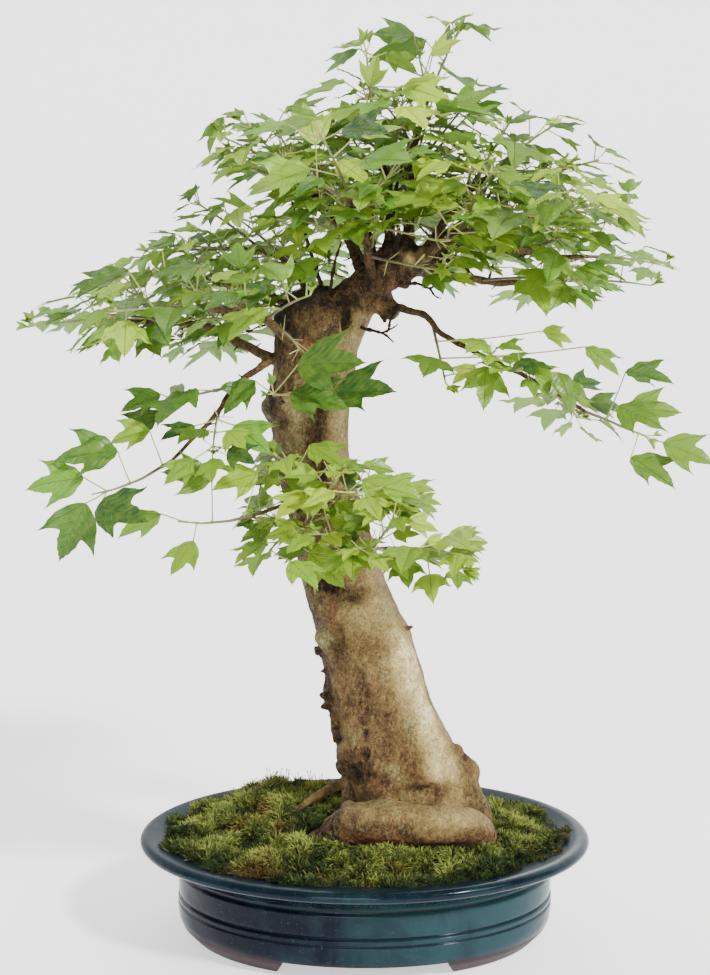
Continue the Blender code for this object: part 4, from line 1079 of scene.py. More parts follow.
def blade_template(grid, fine):
    """The flat blade cut into triangles, as x and y from -0.52 to 0.52 and 0 to 1."""
    steps = (17, 21) if fine else (9, 11)
    right = smooth_path(LOBE_OUTSIDE, steps[0])[:-1] + smooth_path(LOBE_INSIDE, steps[1])
    if fine:
        for i in (6, 9, 12, 28, 31, 33):
            right[i] = right[i] + np.array((0.012, 0.006))
    loop = [Vector(p) for p in right] + [Vector((-p[0], p[1])) for p in right[-2:0:-1]]
    edges = [(i, (i + 1) % len(loop)) for i in range(len(loop))]
    outline = [tuple(p) for p in loop]
    spots = [Vector((0, y)) for y in np.arange(0.08, 0.95, grid)]
    for row, y in enumerate(np.arange(0.05, 0.97, grid * 0.87)):
        for x in np.arange(grid * (0.5 if row % 2 else 1), 0.5, grid):
            near = min(math.dist((x, y), p) for p in outline)
            if is_inside(outline, x, y) and near > 0.03:
                spots += [Vector((x, y)), Vector((-x, y))]
    points, _, faces, *_ = delaunay_2d_cdt(loop + spots, edges, [], 1, 1e-5)
    flat = np.array([tuple(p) for p in points])
    tris = np.array(faces)
    a, b, c = (flat[tris[:, k]] for k in range(3))
    turn = (b - a)[:, 0] * (c - a)[:, 1] - (b - a)[:, 1] * (c - a)[:, 0]
    tris[turn < 0] = tris[turn < 0][:, ::-1]
    return flat, tris


def fine_tube(path, radii, sides):
    """Points and faces of a round tube, as arrays in the path's units."""
    points, faces = tube(path, radii, sides)
    tris = []
    for face in faces:
        tris += [(face[0], face[i], face[i + 1]) for i in range(1, len(face) - 1)]
    return np.array([tuple(p) for p in points]), np.array(tris)


def blend(a, b, share):
    return np.array(a) * (1 - share) + np.array(b) * share


class Parts:
    """Gathers points, faces, tints, blade coordinates and finishes of one piece."""

    def __init__(self):
        self.points, self.faces, self.tints, self.uvs, self.which = [], [], [], [], []
        self.count = 0

    def add(self, points, faces, tint, which=0, uv=None):
        self.points.append(points)
        self.faces.append(faces + self.count)
        self.tints.append(np.broadcast_to(tint, (len(points), 3)))
        self.uvs.append(np.zeros((len(points), 2)) if uv is None else uv)
        self.which.append(np.full(len(faces), which))
        self.count += len(points)

    def build(self, name, finishes, slot):
        return build(name, np.concatenate(self.points), np.concatenate(self.faces), finishes,
                     slot, np.concatenate(self.tints), np.concatenate(self.uvs),
                     np.concatenate(self.which))


BOX_LOW, BOX_HIGH = (np.array(corner) / MM - PLACE for corner in CAD_BOX)
BOX_ROOM = 0.6  # how far each blade stays inside the box of the solids
TWIG_OLD, TWIG_YOUNG = (0.085, 0.055, 0.03), (0.20, 0.24, 0.06)
STALK_GREEN, STALK_YELLOW, STALK_RED = (0.28, 0.34, 0.08), (0.46, 0.5, 0.14), (0.3, 0.12, 0.06)


def add_blade(parts, leaf, template, yellow, bright, draw):
    """Both faces of a blade, waved and curled between its veins, a little apart at the middle."""
    flat, tris = template
    x, y = flat[:, 0], flat[:, 1]
    side = np.abs(x)
    phase, wave = draw.uniform(0, 6.28), draw.uniform(0.012, 0.034)
    z = leaf.fold * side - leaf.droop * y * y
    z = z - draw.uniform(0.0, 0.35) * side * np.maximum(0, 0.4 - np.abs(side - 0.25))
    z = z + wave * np.sin(side * 19 + y * 7 + phase) * np.minimum(1, side * 6)
    z = z - draw.uniform(0.1, 0.5) * np.maximum(0, side - 0.26) ** 2
    z = z - draw.uniform(0.0, 0.8) * np.maximum(0, y - 0.72) ** 2
    right, ahead, up, end = (np.array(v) for v in (leaf.right, leaf.ahead, leaf.up, leaf.end))
    top = end + leaf.length * (x[:, None] * right + y[:, None] * ahead + z[:, None] * up)
    top = top - np.maximum(top.max(0) - BOX_HIGH + BOX_ROOM, 0)
    top = top - np.minimum(top.min(0) - BOX_LOW - BOX_ROOM, 0)
    thick = BLADE_THICK * np.minimum(1, (1.02 - y) * 3) * (0.3 + 0.7 * (side < 0.45))
    uv = np.stack([x / 1.1 + 0.5, y], 1)
    parts.add(top, tris, (yellow, bright, 0), 0, uv)
    parts.add(top - up * thick[:, None], tris[:, ::-1], (yellow, bright, 1), 0, uv)


def add_stalk(parts, leaf, yellow, draw):
    """A thin stalk that sags between the stem and the blade, thicker at both ends."""
    start, end = np.array(leaf.start), np.array(leaf.end)
    low = np.array([0, 0, -1]) * np.linalg.norm(end - start) * draw.uniform(0.0, 0.05)
    shares = np.linspace(0, 1, 5)
    path = [start + (end - start) * s + low * 4 * s * (1 - s) for s in shares]
    radii = [0.5 + 0.25 * (1 - s) ** 3 + 0.12 * s ** 4 for s in shares]
    tint = blend(STALK_GREEN, STALK_YELLOW, yellow)
    if draw.random() < 0.25:
        tint = blend(tint, STALK_RED, 0.5)
    parts.add(*fine_tube(path, radii, 4), tint, 1)


def add_bud_leaves(parts, foot, heading, yellow, draw, template):
    """Two or three leaves just open at a tip, pale and folded."""
    for _ in range(draw.choice((0, 0, 2, 2, 3))):
        out = Vector(heading) + Vector([draw.uniform(-0.7, 0.7) for _ in range(3)])
        out.z += 0.4
        length = draw.uniform(8, 13)
        end = Vector(foot) + out.normalized() * draw.uniform(4, 9)
        leaf = Leaf(Vector(foot), end, out, UP + Vector((0, -0.6, 0)), length,
                    draw.uniform(0.5, 0.9), 0.1)
        add_blade(parts, leaf, template, min(1, yellow + 0.3), 0.6, draw)
        add_stalk(parts, leaf, 1, draw)


def leaf_colour(stem, leaf, draw):
    """How yellow and how bright a leaf is: greener on dark stems, and painted brighter and yellower
    inside the crown, as painted light where its inside lies in shade.
    """
    bright = max(0, draw.choice((0, 0.35, 0.7, 1)) + draw.uniform(-0.1, 0.1))
    yellow = draw.gauss(0.1 + stem.yellow * 0.5, 0.22) + draw.choice((0, 0, 0, 0, 0, 0.4))
    if stem.yellow < 0:
        bright, yellow = 0.3 * bright, 0.2 * yellow
    # Painted light: the nearer a leaf is to the crown's middle, where shade falls, the brighter and
    # yellower it is made.
    crown_painted_light = (leaf.end - Vector(PAINTED_LIGHT_MIDDLE)) / PAINTED_LIGHT_REACH
    crown_painted_light = max(0, 1 - math.hypot(crown_painted_light.x, crown_painted_light.y * 1.5, crown_painted_light.z * 1.6))
    if leaf.yellow is not None:
        yellow = leaf.yellow
    else:
        yellow = min(max(yellow + 0.35 * crown_painted_light, 0), 1)
    return yellow, min(1, bright + 0.9 * crown_painted_light)


def add_leafy_stem(parts, stem, template):
    """A stem thicker at its nodes, with its leaves, its bare stalks and the young leaves at its
    tip."""
    draw = random.Random(f"fine {stem.name}")
    path, radii, tints = [], [], []
    nodes = {share for share, _, _ in stem.leaves}
    for share in sorted({*np.linspace(max(stem.start - 0.04, 0), 1, 14), *nodes}):
        path.append(stem.at(share)[0])
        radii.append((1.45 - 0.75 * share) * (1.35 if share in nodes else 1))
        young = min(1, max(0, share * 1.4 - 0.3 + 0.3 * stem.yellow))
        tints += [blend(TWIG_OLD, TWIG_YOUNG, young)] * TWIG_ROUND
    parts.add(*fine_tube(path, radii, TWIG_ROUND), np.array(tints), 1)
    for _, _, leaf in stem.leaves:
        yellow, bright = leaf_colour(stem, leaf, draw)
        add_blade(parts, leaf, template, yellow, bright, draw)
        add_stalk(parts, leaf, yellow, draw)
    for share in np.linspace(0.25, 0.95, 3 if stem.bare_stalks else 0):
        foot, heading = stem.at(share)
        for _ in range(3):
            out = Vector(heading) * 0.5 + Vector([draw.uniform(-1, 1) for _ in range(3)])
            out.z += 0.5
            end = foot + out.normalized() * draw.uniform(9, 20)
            points, faces = fine_tube([foot, end], [0.5, 0.3], 3)
            parts.add(points, faces, np.array(STALK_YELLOW) * draw.uniform(0.5, 1.1), 1)
    if 1 not in nodes:
        add_bud_leaves(parts, *stem.at(1), stem.yellow, draw, template)


def make_leaves(name, stems, template):
    """One piece of one or more leafy stems."""
    parts = Parts()
    for stem in stems:
        add_leafy_stem(parts, stem, template)
    return parts.build(name, [FINISHES["leaf"], FINISHES["twig"]],
                       "leaf" if stems[0].yellow <= 0.6 else "young_leaf")


# What the bark is like at a mark: how pale, how rusty and how grey-green, all from 0 to 1
BLACK, UMBER, BROWN, TAN = (0.0, 0, 0), (0.17, 0.3, 0), (0.35, 0.35, 0), (0.52, 0.4, 0)
OLIVE, GREY, PALE, CREAM = (0.45, 0, 0.5), (0.62, 0, 0.35), (0.8, 0, 0), (0.95, 0, 0.1)
RUST, LICHEN = (0.35, 1, 0), (0.62, 0, 0.95)
# Marks on the bark: x, y, z, reach across and up, colour, strength, and how far it stands out
MARKS = (
    (-45, -26, 540, 17, 17, BROWN, 0.9, 2.5), (-51, -12, 561, 26, 9, BLACK, 0.9, 1),
    (-69, -14, 543, 8, 22, BLACK, 0.9, 0), (-46, -26, 522, 16, 5, RUST, 0.6, -1),
    # (-15, -17, 545) is sunk, and its black is painted shade in the hollow.
    (-11, -11, 520, 12, 26, GREY, 0.7, 0), (-15, -17, 545, 5, 14, BLACK, 1, -4),
    (18, -5, 590, 16, 16, UMBER, 0.95, 0), (19, -1, 564, 6, 9, RUST, 0.9, 0),
    (8, -1, 554, 8, 10, TAN, 0.8, 1.5), (19, -3, 544, 6, 10, UMBER, 0.9, 2.5),
    (38, -2, 592, 7, 6, CREAM, 0.9, 3), (51, -10, 596, 8, 6, GREY, 0.6, 3),
    (30, 6, 600, 12, 9, UMBER, 0.9, 2), (-76, -14, 472, 9, 15, BLACK, 0.85, 3),
    (-68, -20, 474, 6, 8, CREAM, 0.5, 1.5), (-57, -26, 450, 9, 34, (0.56, 0.2, 0.5), 0.7, 0),
    (-40, -28, 430, 26, 60, OLIVE, 0.45, 0),
    (-39, -25, 446, 11, 30, UMBER, 0.8, -1.5), (-21, -14, 444, 10, 34, PALE, 0.7, 0),
    # (-39, -24, 402) is sunk, and its black is painted shade in the hollow.
    (-39, -24, 402, 8, 13, BLACK, 0.95, -3), (-36, -24, 418, 7, 8, BROWN, 0.7, 1),
    (-60, -20, 500, 14, 22, UMBER, 0.8, 1), (-42, -30, 494, 16, 14, BROWN, 0.8, 0),
    # (-16, -23, 338) on this line and (-34, -22, 319) on the next are sunk, and their black is
    # painted shade in the hollows.
    (-21, -18, 379, 5, 6, UMBER, 0.9, -1.5), (-16, -23, 338, 11, 13, BLACK, 0.8, -4),
    # (-14, -24, 306) is a painted shadow: the umber band where the leaves above cast shade on the
    # trunk.
    (-34, -22, 319, 13, 11, BLACK, 0.9, -4), (-14, -24, 306, 24, 9, UMBER, 0.7, -1),
    (-29, -24, 287, 6, 12, RUST, 0.9, 0.5), (-34, -19, 267, 8, 10, LICHEN, 0.9, 3.5),
    (-20, -24, 255, 8, 14, UMBER, 0.6, -1), (-30, -6, 207, 6, 8, UMBER, 0.8, 2),
    (-25, -2, 180, 5, 22, GREY, 0.8, 1.5), (-10, -26, 162, 13, 12, UMBER, 0.8, 3),
    # (-9, -32, 144) is sunk deep, and its black is painted shade in the hole.
    (-9, -32, 144, 8, 9, BLACK, 1, -9), (7, -39, 160, 7, 7, BROWN, 0.9, 4.5),
    (24, -44, 158, 9, 7, LICHEN, 0.7, 2), (60, -46, 137, 19, 7, (0.03, 0.6, 0), 1, -6),
    (40, -46, 138, 14, 6, UMBER, 0.6, -1.5), (87, -16, 151, 9, 40, BROWN, 0.75, 0),
    (100, -8, 146, 8, 9, RUST, 0.5, 2), (20, -36, 189, 16, 34, BROWN, 0.85, 0),
    (36, -33, 210, 16, 40, OLIVE, 0.4, 0), (-17, -24, 222, 14, 32, BROWN, 0.7, 0),
    # The PALE and CREAM marks down the right-hand ridge, on this line and the next, are pale bark
    # with a painted highlight where light catches the ridge.
    (16, -17, 293, 15, 26, PALE, 0.6, 0), (35, -19, 247, 12, 32, CREAM, 0.75, 0),
    (52, -20, 198, 12, 34, CREAM, 0.75, 0), (65, -33, 156, 12, 24, PALE, 0.75, 0),
    (6, -42, 146, 22, 5, UMBER, 0.9, -4), (-22, -26, 262, 7, 14, UMBER, 0.9, -4),
    (9, -47, 139, 16, 8, RUST, 0.7, -1), (32, -6, 276, 6, 26, TAN, 0.7, 0),
    # (4, -67, 128) is sunk, and its black is painted shade in the pit.
    (-4, -31, 250, 16, 26, TAN, 0.4, 0), (4, -67, 128, 4, 4, BLACK, 0.7, -1.5),
    (30, -70, 131, 54, 10, (0.54, 0.2, 0.25), 0.85, 0),
    (82, -64, 125, 24, 9, (0.68, 0, 0.1), 0.7, 0),
    (-8, -74, 122, 6, 6, UMBER, 0.6, -1), (-44, 0, 118, 36, 22, (0.52, 0.5, 0), 0.9, 0),
)
# Ridges and hollows that run along the bark: both ends, reach, what they are like, strength, rise
STREAKS = (
    ((-64, -16, 548), (-34, -18, 568), 6, BLACK, 0.85, 2.2),
    ((-66, -16, 552), (-68, -14, 520), 6, BLACK, 0.8, 2.0),
    ((-58, -24, 524), (-24, -26, 526), 4, (0.16, 0.7, 0), 0.8, 1.6),
    ((-50, -24, 540), (-32, -26, 548), 9, TAN, 0.5, -1.5),
    ((4, -4, 566), (30, -4, 584), 5, BROWN, 0.7, 1.8),
    # This streak is a sunk crease, and its black is painted shade in it.
    ((-4, -4, 576), (18, -2, 592), 4, BLACK, 0.8, -1.8),
    ((-45, -20, 460), (-38, -26, 400), 6, UMBER, 0.6, -1.8),
    ((-22, -22, 250), (-14, -30, 190), 5, UMBER, 0.6, -1.8),
    ((-2, -34, 182), (4, -40, 150), 5, UMBER, 0.7, -2.4),
    ((58, -34, 190), (76, -36, 140), 5, TAN, 0.6, -1.8),
    # These two streaks down the right-hand ridge are pale bark with a painted highlight where light
    # catches it.
    ((16, -17, 296), (36, -19, 247), 13, PALE, 0.75, 1.2),
    ((36, -19, 247), (70, -30, 150), 15, CREAM, 0.85, 3.0),
    ((0, -34, 212), (34, -40, 165), 15, BROWN, 0.95, -3.5),
    ((34, -40, 165), (50, -44, 146), 8, (0.36, 0.6, 0), 0.7, -1.5),
    ((38, -46, 143), (80, -46, 142), 4, (0.5, 0.6, 0), 0.8, 2.2),
    ((-13, -30, 172), (-11, -32, 156), 2.6, UMBER, 0.9, -1.8),
    ((-6, -33, 172), (-4, -35, 157), 2.6, UMBER, 0.9, -1.8),
    # This streak is a sunk crease, and its black is painted shade in it.
    ((0, -35, 170), (2, -38, 152), 2.8, BLACK, 0.8, -2.2),
    ((32, -12, 290), (62, -12, 222), 8, (0.52, 0.5, 0), 0.55, 0),
    ((62, -14, 222), (86, -20, 160), 8, (0.48, 0.5, 0), 0.6, -1.0),
    ((-22, -22, 225), (-14, -28, 165), 10, TAN, 0.6, 2.2),
    ((-6, -30, 236), (-4, -36, 190), 7, UMBER, 0.85, -2.5),
    ((80, -8, 214), (96, -12, 150), 6, TAN, 0.5, 1.5),
    ((86, -28, 146), (104, -28, 104), 8, TAN, 0.5, 1.5),
    ((-20, -80, 107), (98, -70, 99), 11, (0.4, 0.85, 0), 0.95, -2.0),
    ((-14, -80, 98), (98, -70, 92), 6, (0.18, 1, 0), 0.9, -2.0),
    ((-12, -74, 121), (88, -68, 120), 8, (0.66, 0.15, 0.2), 0.7, 2.4),
    ((10, -82, 114), (70, -80, 113), 3, TAN, 0.5, -1.0),
    ((2, -52, 132), (82, -54, 128), 6, UMBER, 0.8, -2.0),
)
# Dead stubs: foot, tip and radius
STUBS = (
    ((-34, -4, 250), (-43, -8, 252), 3.6), ((-36, -2, 247), (-45, -3, 255), 2.6),
    ((-32, -4, 233), (-40, -7, 234), 2.8), ((-27, -6, 209), (-40, -10, 214), 3.8),
    ((-27, -4, 203), (-40, -6, 201), 3.0), ((-27, -10, 197), (-25, -10, 170), 4.2),
    ((36, -6, 272), (42, -10, 275), 2.2), ((-13, -12, 548), (-14, -22, 556), 4.2),
    ((60, 8, 588), (69, 2, 585), 3.6), ((66, -2, 586), (72, -6, 578), 3.0),
    ((84, -10, 158), (90, -14, 158), 2.6), ((90, -8, 150), (96, -10, 147), 2.6),
    ((-72, -12, 476), (-80, -14, 480), 3.5), ((-74, -12, 466), (-80, -16, 462), 3.0),
    ((20, 0, 552), (24, -10, 545), 3.0), ((15, -2, 546), (17, -11, 538), 2.6),
)
# Lumps of callus round the old cut, the leader and the roots: x, y, z, radius
CALLUS = (
    (-52, -8, 548, 15), (-38, -14, 534, 16), (-60, 6, 536, 13), (-30, 2, 556, 11),
    (-66, -4, 528, 9), (14, 2, 556, 11), (22, 4, 548, 8), (4, 6, 572, 9), (40, 8, 588, 12),
    (52, 8, 594, 11), (60, 14, 592, 8), (30, 14, 600, 9),
    (-11, -20, 163, 14), (-16, -16, 152, 11), (6, -35, 158, 8.5), (24, -38, 157, 9),
    (-16, -10, 180, 9), (-21, -4, 196, 8), (-33, -15, 267, 9), (-72, -8, 474, 12),
    (-68, -16, 466, 9), (-74, 0, 484, 9), (82, -8, 150, 12), (88, -6, 144, 9), (79, -12, 162, 8),
    (-66, -6, 546, 9), (-58, -14, 556, 9), (14, -4, 566, 8), (-44, -14, 560, 8), (33, 2, 574, 8),
    (-14, -50, 124, 7), (16, -58, 119, 19), (62, -57, 116, 17), (90, -49, 107, 14),
    (-40, -45, 92, 12), (104, -44, 95, 11), (-24, -52, 104, 15), (114, -36, 84, 8),
)
VOXEL = 1.85
LEFT_ROOT_THIN = 0.78


def ball(x, y, z, radius, rows=10, sides=16):
    turns = [math.pi * i / rows for i in range(rows + 1)]
    path = [Vector((x, y, z - radius * math.cos(turn))) for turn in turns]
    return tube(path, [radius * max(0.03, math.sin(turn)) for turn in turns], sides)


def gather(solids):
    points, faces = [], []
    for more, others in solids:
        first = len(points)
        points += [tuple(p) for p in more]
        faces += [tuple(first + i for i in face) for face in others]
    return points, faces


def painted(colour, paint, strength, share):
    """The colours with paint laid over them, at its full strength where share is 1."""
    share = share[:, None]
    return colour * (1 - strength * share) + np.array(paint) * strength * share


def bark_tints(points):
    """Each point's colour, and how far it stands out at the marks: pale to the right and front and
    brown to the left, as painted light and shade, dark above the old cut and at the foot, then the
    streaks and marks."""
    centre = [np.interp(points[:, 2], [r[0] for r in TRUNK], [r[k] for r in TRUNK])
              for k in (1, 2)]
    bearing = np.arctan2(points[:, 1] - centre[1], points[:, 0] - centre[0])
    wobble = np.array([noise.noise(Vector(p) / 34) for p in points])
    fine_wobble = np.array([noise.noise(Vector(p) / 11 + Vector((7, 3, 1))) for p in points])
    # Painted light and shade: paler on the right and front, which face the light, and darker to the
    # left.
    pale = 0.37 + 0.18 * np.cos(bearing + 0.8) + 0.16 * wobble
    pale = pale - 0.06 * np.clip((-46 - points[:, 1]) / 8, 0, 1)
    rust = 0.12 + 0.5 * np.maximum(0, -fine_wobble - 0.1)
    moss = 0.16 + 0.6 * np.maximum(0, fine_wobble)
    old = np.clip((points[:, 2] - 522 + 14 * wobble) / 14, 0, 0.95)
    old = old * np.where(points[:, 0] > -22, np.clip((points[:, 2] - 542) / 14, 0, 1), 1)
    pale = pale * (1 - old) + (0.2 + 0.14 * fine_wobble) * old
    moss = moss * (1 - 0.7 * old)
    foot = np.exp(-np.maximum(0, points[:, 2] - 100) / 9)
    pale = pale - 0.22 * foot
    rust = rust + 0.5 * foot
    colour = np.stack([pale, rust, moss], 1)
    lift = np.zeros(len(points))
    for start, end, reach, paint, strength, rise in STREAKS:
        along = np.array(end, float) - start
        share = np.clip((points - start) @ along / (along @ along), 0, 1)[:, None]
        far = np.linalg.norm(points - start - along * share, axis=1) / reach + 0.5 * fine_wobble
        share = np.exp(-np.maximum(far, 0) ** 2.4)
        lift += rise * share
        colour = painted(colour, paint, strength, share)
    for x, y, z, across, up, paint, strength, rise in MARKS:
        far = ((points[:, 0] - x) ** 2 + (points[:, 1] - y) ** 2) / across ** 2
        far = far + ((points[:, 2] - z) / up) ** 2 + 0.9 * fine_wobble
        share = np.exp(-np.maximum(far, 0) ** 1.4)
        lift += rise * share
        colour = painted(colour, paint, strength, share)
    return colour, lift


def make_bark(finishes):
    """Trunk, roots and leader in one skin, pressed and swelled at its marks."""
    solids = [trunk_skin(120, 4), limb(*LEADER, 40, 24)]
    for root, (points, radii) in ROOTS.items():
        thin = LEFT_ROOT_THIN if root == "left" else 1
        solids.append(limb(points, [radius * thin for radius in radii], 44, 20))
    for name, (points, *_) in BOUGHS.items():
        rows = bough_path(name, 25)[:7]
        solids.append(row_tube([(*r[:3], r[3] * (1.3 - 0.08 * i)) for i, r in enumerate(rows)], 12))
    for x, y, z, radius in CALLUS:
        solids.append(ball(x * MM, y * MM, z * MM, radius * MM))
    for foot, tip, radius in STUBS:
        solids.append(row_tube([(*foot, radius * 1.25), (*tip, radius * 0.8)], 10))
    raw = new_object("bark_raw", *gather(solids))
    remesh = raw.modifiers.new("skin", "REMESH")
    remesh.mode = "VOXEL"
    remesh.voxel_size = VOXEL * MM
    smooth = raw.modifiers.new("smooth", "SMOOTH")
    smooth.iterations, smooth.factor = 5, 0.5
    apply_all(raw)
    mesh = raw.data
    count = len(mesh.vertices)
    points, normals = np.empty(count * 3), np.empty(count * 3)
    mesh.vertices.foreach_get("co", points)
    mesh.vertices.foreach_get("normal", normals)
    points, normals = points.reshape(-1, 3) / MM, normals.reshape(-1, 3)
    tint, lift = bark_tints(points)
    rough = np.clip(1.5 - 1.9 * tint[:, 0], 0.45, 1.4)
    swell = np.array([1.2 * noise.noise(Vector(p) / 17) + 0.9 * noise.noise(
        Vector((p[0] / 6, p[1] / 6, p[2] / 11))) for p in points])
    crust = np.array([abs(noise.noise(Vector((p[0] / 5, p[1] / 5, p[2] / 9)))) for p in points])
    points = points + normals * (lift + swell * rough - 2.6 * crust * (rough - 0.3))[:, None]
    # Paler on the swells and darker in the crust's hollows: in part the crust's own colour, in part
    # painted light and shade that follow the relief.
    tint[:, 0] = np.clip(tint[:, 0] + 0.05 * swell * rough
                         + 0.6 * (0.16 - np.minimum(crust, 0.5)) * (rough - 0.3), 0, 1)
    for foot, tip, radius in STUBS:
        far = np.linalg.norm(points - (np.array(foot) * 0.35 + np.array(tip) * 0.65), axis=1)
        tint = painted(tint, UMBER, 0.9, np.exp(-(far / (radius * 1.9)) ** 4))
    faces = [tuple(face.vertices) for face in mesh.polygons]
    bpy.data.objects.remove(raw)
    piece = build("bark", points, faces, finishes, "trunk", tint)
    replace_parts(piece, "trunk")
    return piece


# Leafless twigs by the old cut and the leader: points and radius at the foot
DEAD_TWIGS = (
    (((-10, -4, 536), (6, -16, 532), (14, -20, 530), (24, -24, 523)), 1.7),
    (((14, -20, 530), (22, -22, 534), (28, -26, 538)), 1.1),
    (((34, -2, 572), (44, -12, 571), (54, -18, 568), (60, -22, 573)), 1.6),
    (((54, -18, 568), (58, -24, 562), (64, -26, 560)), 1.1),
    (((28, -4, 552), (22, -14, 542), (18, -18, 530)), 1.8),
    (((-66, -6, 534), (-80, -14, 538), (-92, -18, 542), (-98, -20, 550)), 1.5),
    (((-80, -14, 538), (-92, -20, 534), (-104, -24, 530)), 1.1),
    (((-34, -4, 560), (-44, -12, 590), (-50, -14, 612), (-62, -20, 640)), 2.2),
    (((-30, -4, 562), (-26, -16, 588), (-20, -22, 606)), 1.7),
    (((24, 2, 596), (28, -8, 616), (24, -14, 640), (30, -20, 668)), 2.2),
    (((62, 4, 594), (72, -10, 590), (84, -16, 586), (92, -22, 578)), 1.7),
    (((72, -10, 590), (80, -16, 600), (90, -22, 606)), 1.2),
    (((56, 10, 598), (70, 6, 606), (88, 0, 608)), 1.6),
    (((6, 4, 582), (-4, -8, 596), (-8, -18, 614), (-4, -24, 634)), 1.7),
)


def make_boughs(finishes):
    """The limbs that carry the leafy stems, knotted and a little crooked."""
    parts = Parts()
    for name, (points, *_) in BOUGHS.items():
        draw = random.Random(f"bough {name}")
        length = sum(math.dist(a, b) for a, b in zip(points, points[1:]))
        steps = max(12, round(length / 4))
        path, radii = [], []
        for i, row in enumerate(bough_path(name, steps)):
            s = i / (steps - 1)
            shake = noise.noise_vector(Vector(row[:3]) / 15) * 2.2 * min(1, 4 * s, 4 * (1 - s))
            knot = 1 + 0.3 * max(0, noise.noise(Vector(row[:3]) / 6) - 0.05)
            path.append(Vector(row[:3]) + shake)
            radii.append(row[3] * (0.88 * knot))
        parts.add(*fine_tube(path, radii, 12), (0.22 + 0.14 * draw.random(), 0.25, 0.05))
        for _ in range(4 if length > 60 else 2):  # dead spurs
            i = draw.randrange(3, steps - 2)
            out = Vector([draw.uniform(-1, 1) for _ in range(3)]).normalized()
            spur = [path[i], path[i] + out * radii[i],
                    path[i] + out * (radii[i] + draw.uniform(3, 9))]
            parts.add(*fine_tube(spur, [1.3, 0.9, 0.45], 6), (0.1, 0.2, 0))
    for knots, radius in DEAD_TWIGS:
        path = [Vector(p) for p in smooth_path(knots, 4 * len(knots))]
        path = [p + noise.noise_vector(p / 9) * 1.2 for p in path]
        radii = [radius * (1 - 0.6 * i / (len(path) - 1)) * (1.5 if i % 4 == 0 else 1)
                 for i in range(len(path))]
        parts.add(*fine_tube(path, radii, 7), (0.14, 0.2, 0))
    return parts.build("boughs", finishes, "trunk")


def rounded(profile, times=2):
    """A closed profile with its corners cut off again and again."""
    for _ in range(times):
        out = []
        for a, b in zip(profile, profile[1:] + profile[:1]):
            a, b = np.array(a, float), np.array(b, float)
            out += [tuple(a * 0.8 + b * 0.2), tuple(a * 0.2 + b * 0.8)]
        profile = out
    return profile


def make_pot(finishes):
    profile = list(POT_PROFILE)
    grooved = profile.index((36.5, 29))
    profile[grooved - 1:grooved + 3] = [
        (33, 25.5), (33.2, 27), (34.6, 28), (33.6, 29.2), (33.2, 31.5), (33.4, 33), (36.2, 34.4),
        (33.8, 35.8), (33.5, 52), (33.5, 54.5),
    ]
    lip = profile.index((1, 79))
    profile[lip:lip + 3] = [(3.5, 77.2), (1, 79.6), (0.4, 82.4), (1.6, 85), (5, 86.9), (12, 86.1)]
    rings = [inset_oval(inset, z) for inset, z in rounded(profile)]
    points, faces = oval_body(rings, 180)
    pot = new_object("pot_raw", points, faces)
    low, top, reach = -FOOT_DROP - 5, FOOT_HEIGHT - 0.5, LIP_WIDTH
    half_low, half_top = FOOT_GAP_LENGTH / 2 + FOOT_GAP_SLOPE, FOOT_GAP_LENGTH / 2
    corners = [(x, y, z) for y in (-reach / 2, reach / 2)
               for x, z in ((-half_low, low), (half_low, low), (half_top, top), (-half_top, top))]
    faces = [(0, 1, 2, 3), (7, 6, 5, 4), (0, 4, 5, 1), (1, 5, 6, 2), (2, 6, 7, 3), (3, 7, 4, 0)]
    cutters = [new_object("foot_gap", [Vector(c) * MM for c in corners], faces)]
    for side in (-1, 1):
        ends = [Vector((side * DRAIN_X, 0, z)) * MM for z in (FOOT_HEIGHT - 6, FLOOR_TOP + 6)]
        cutters.append(new_object("drain", *tube(ends, [DRAIN_RADIUS * MM] * 2, 32)))
    apply_boolean(pot, cutters, "DIFFERENCE")
    pot.name = "pot_glazed"
    mesh = pot.data
    mesh.transform(Matrix.Translation(Vector(PLACE) * MM))
    mesh.shade_smooth()
    mesh.set_sharp_from_angle(angle=math.radians(50))
    mesh.materials.clear()
    mesh.materials.append(finishes[0])
    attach(pot, "root")
    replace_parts(pot, "pot")
    return pot


MOSS_EDGE = 22  # inset of the moss's outer edge from the lip's
MOSS_X, MOSS_Y = LIP_LENGTH / 2 - MOSS_EDGE, LIP_WIDTH / 2 - MOSS_EDGE
CUSHIONS, STRANDS, TUFT = 150, 118000, 12.0
# The bed's near-black is dark moss with painted shade: the dark of the gaps between the strands.
BED_TINT, SPROUT_TINT = (0.008, 0.010, 0.003), (0.09, 0.06, 0.03)
# The strands' colours at half height and at the tip, from shade to light, and dry
DEEP_SHADE, DEEP_LIGHT = (0.010, 0.018, 0.003), (0.03, 0.055, 0.005)
TIP_SHADE, TIP_LIGHT, TIP_DRY = (0.025, 0.042, 0.008), (0.40, 0.46, 0.09), (0.36, 0.17, 0.05)


def unit(rows):
    return rows / np.linalg.norm(rows, axis=1)[:, None]


def hill(x, y, middle_x, middle_y, reach_x, reach_y):
    """1 at the middle of a smooth hill and 0 far from it."""
    return np.exp(-(((x - middle_x) / reach_x) ** 2 + ((y - middle_y) / reach_y) ** 2))


def is_clear(bark, point, room=1.0):
    near, normal, _, gap = bark.find_nearest(Vector(point))
    return gap > room and (Vector(point) - near).dot(normal) > 0


def cushion_field(x, y, spots):
    """How high the moss's cushions stand at x and y, in millimetres."""
    best = np.full(np.shape(x), -4.0)
    for cx, cy, radius, rise in spots:
        far = ((x - cx) ** 2 + (y - cy) ** 2) / radius ** 2
        best = np.maximum(best, rise * (1 - far))
    return best


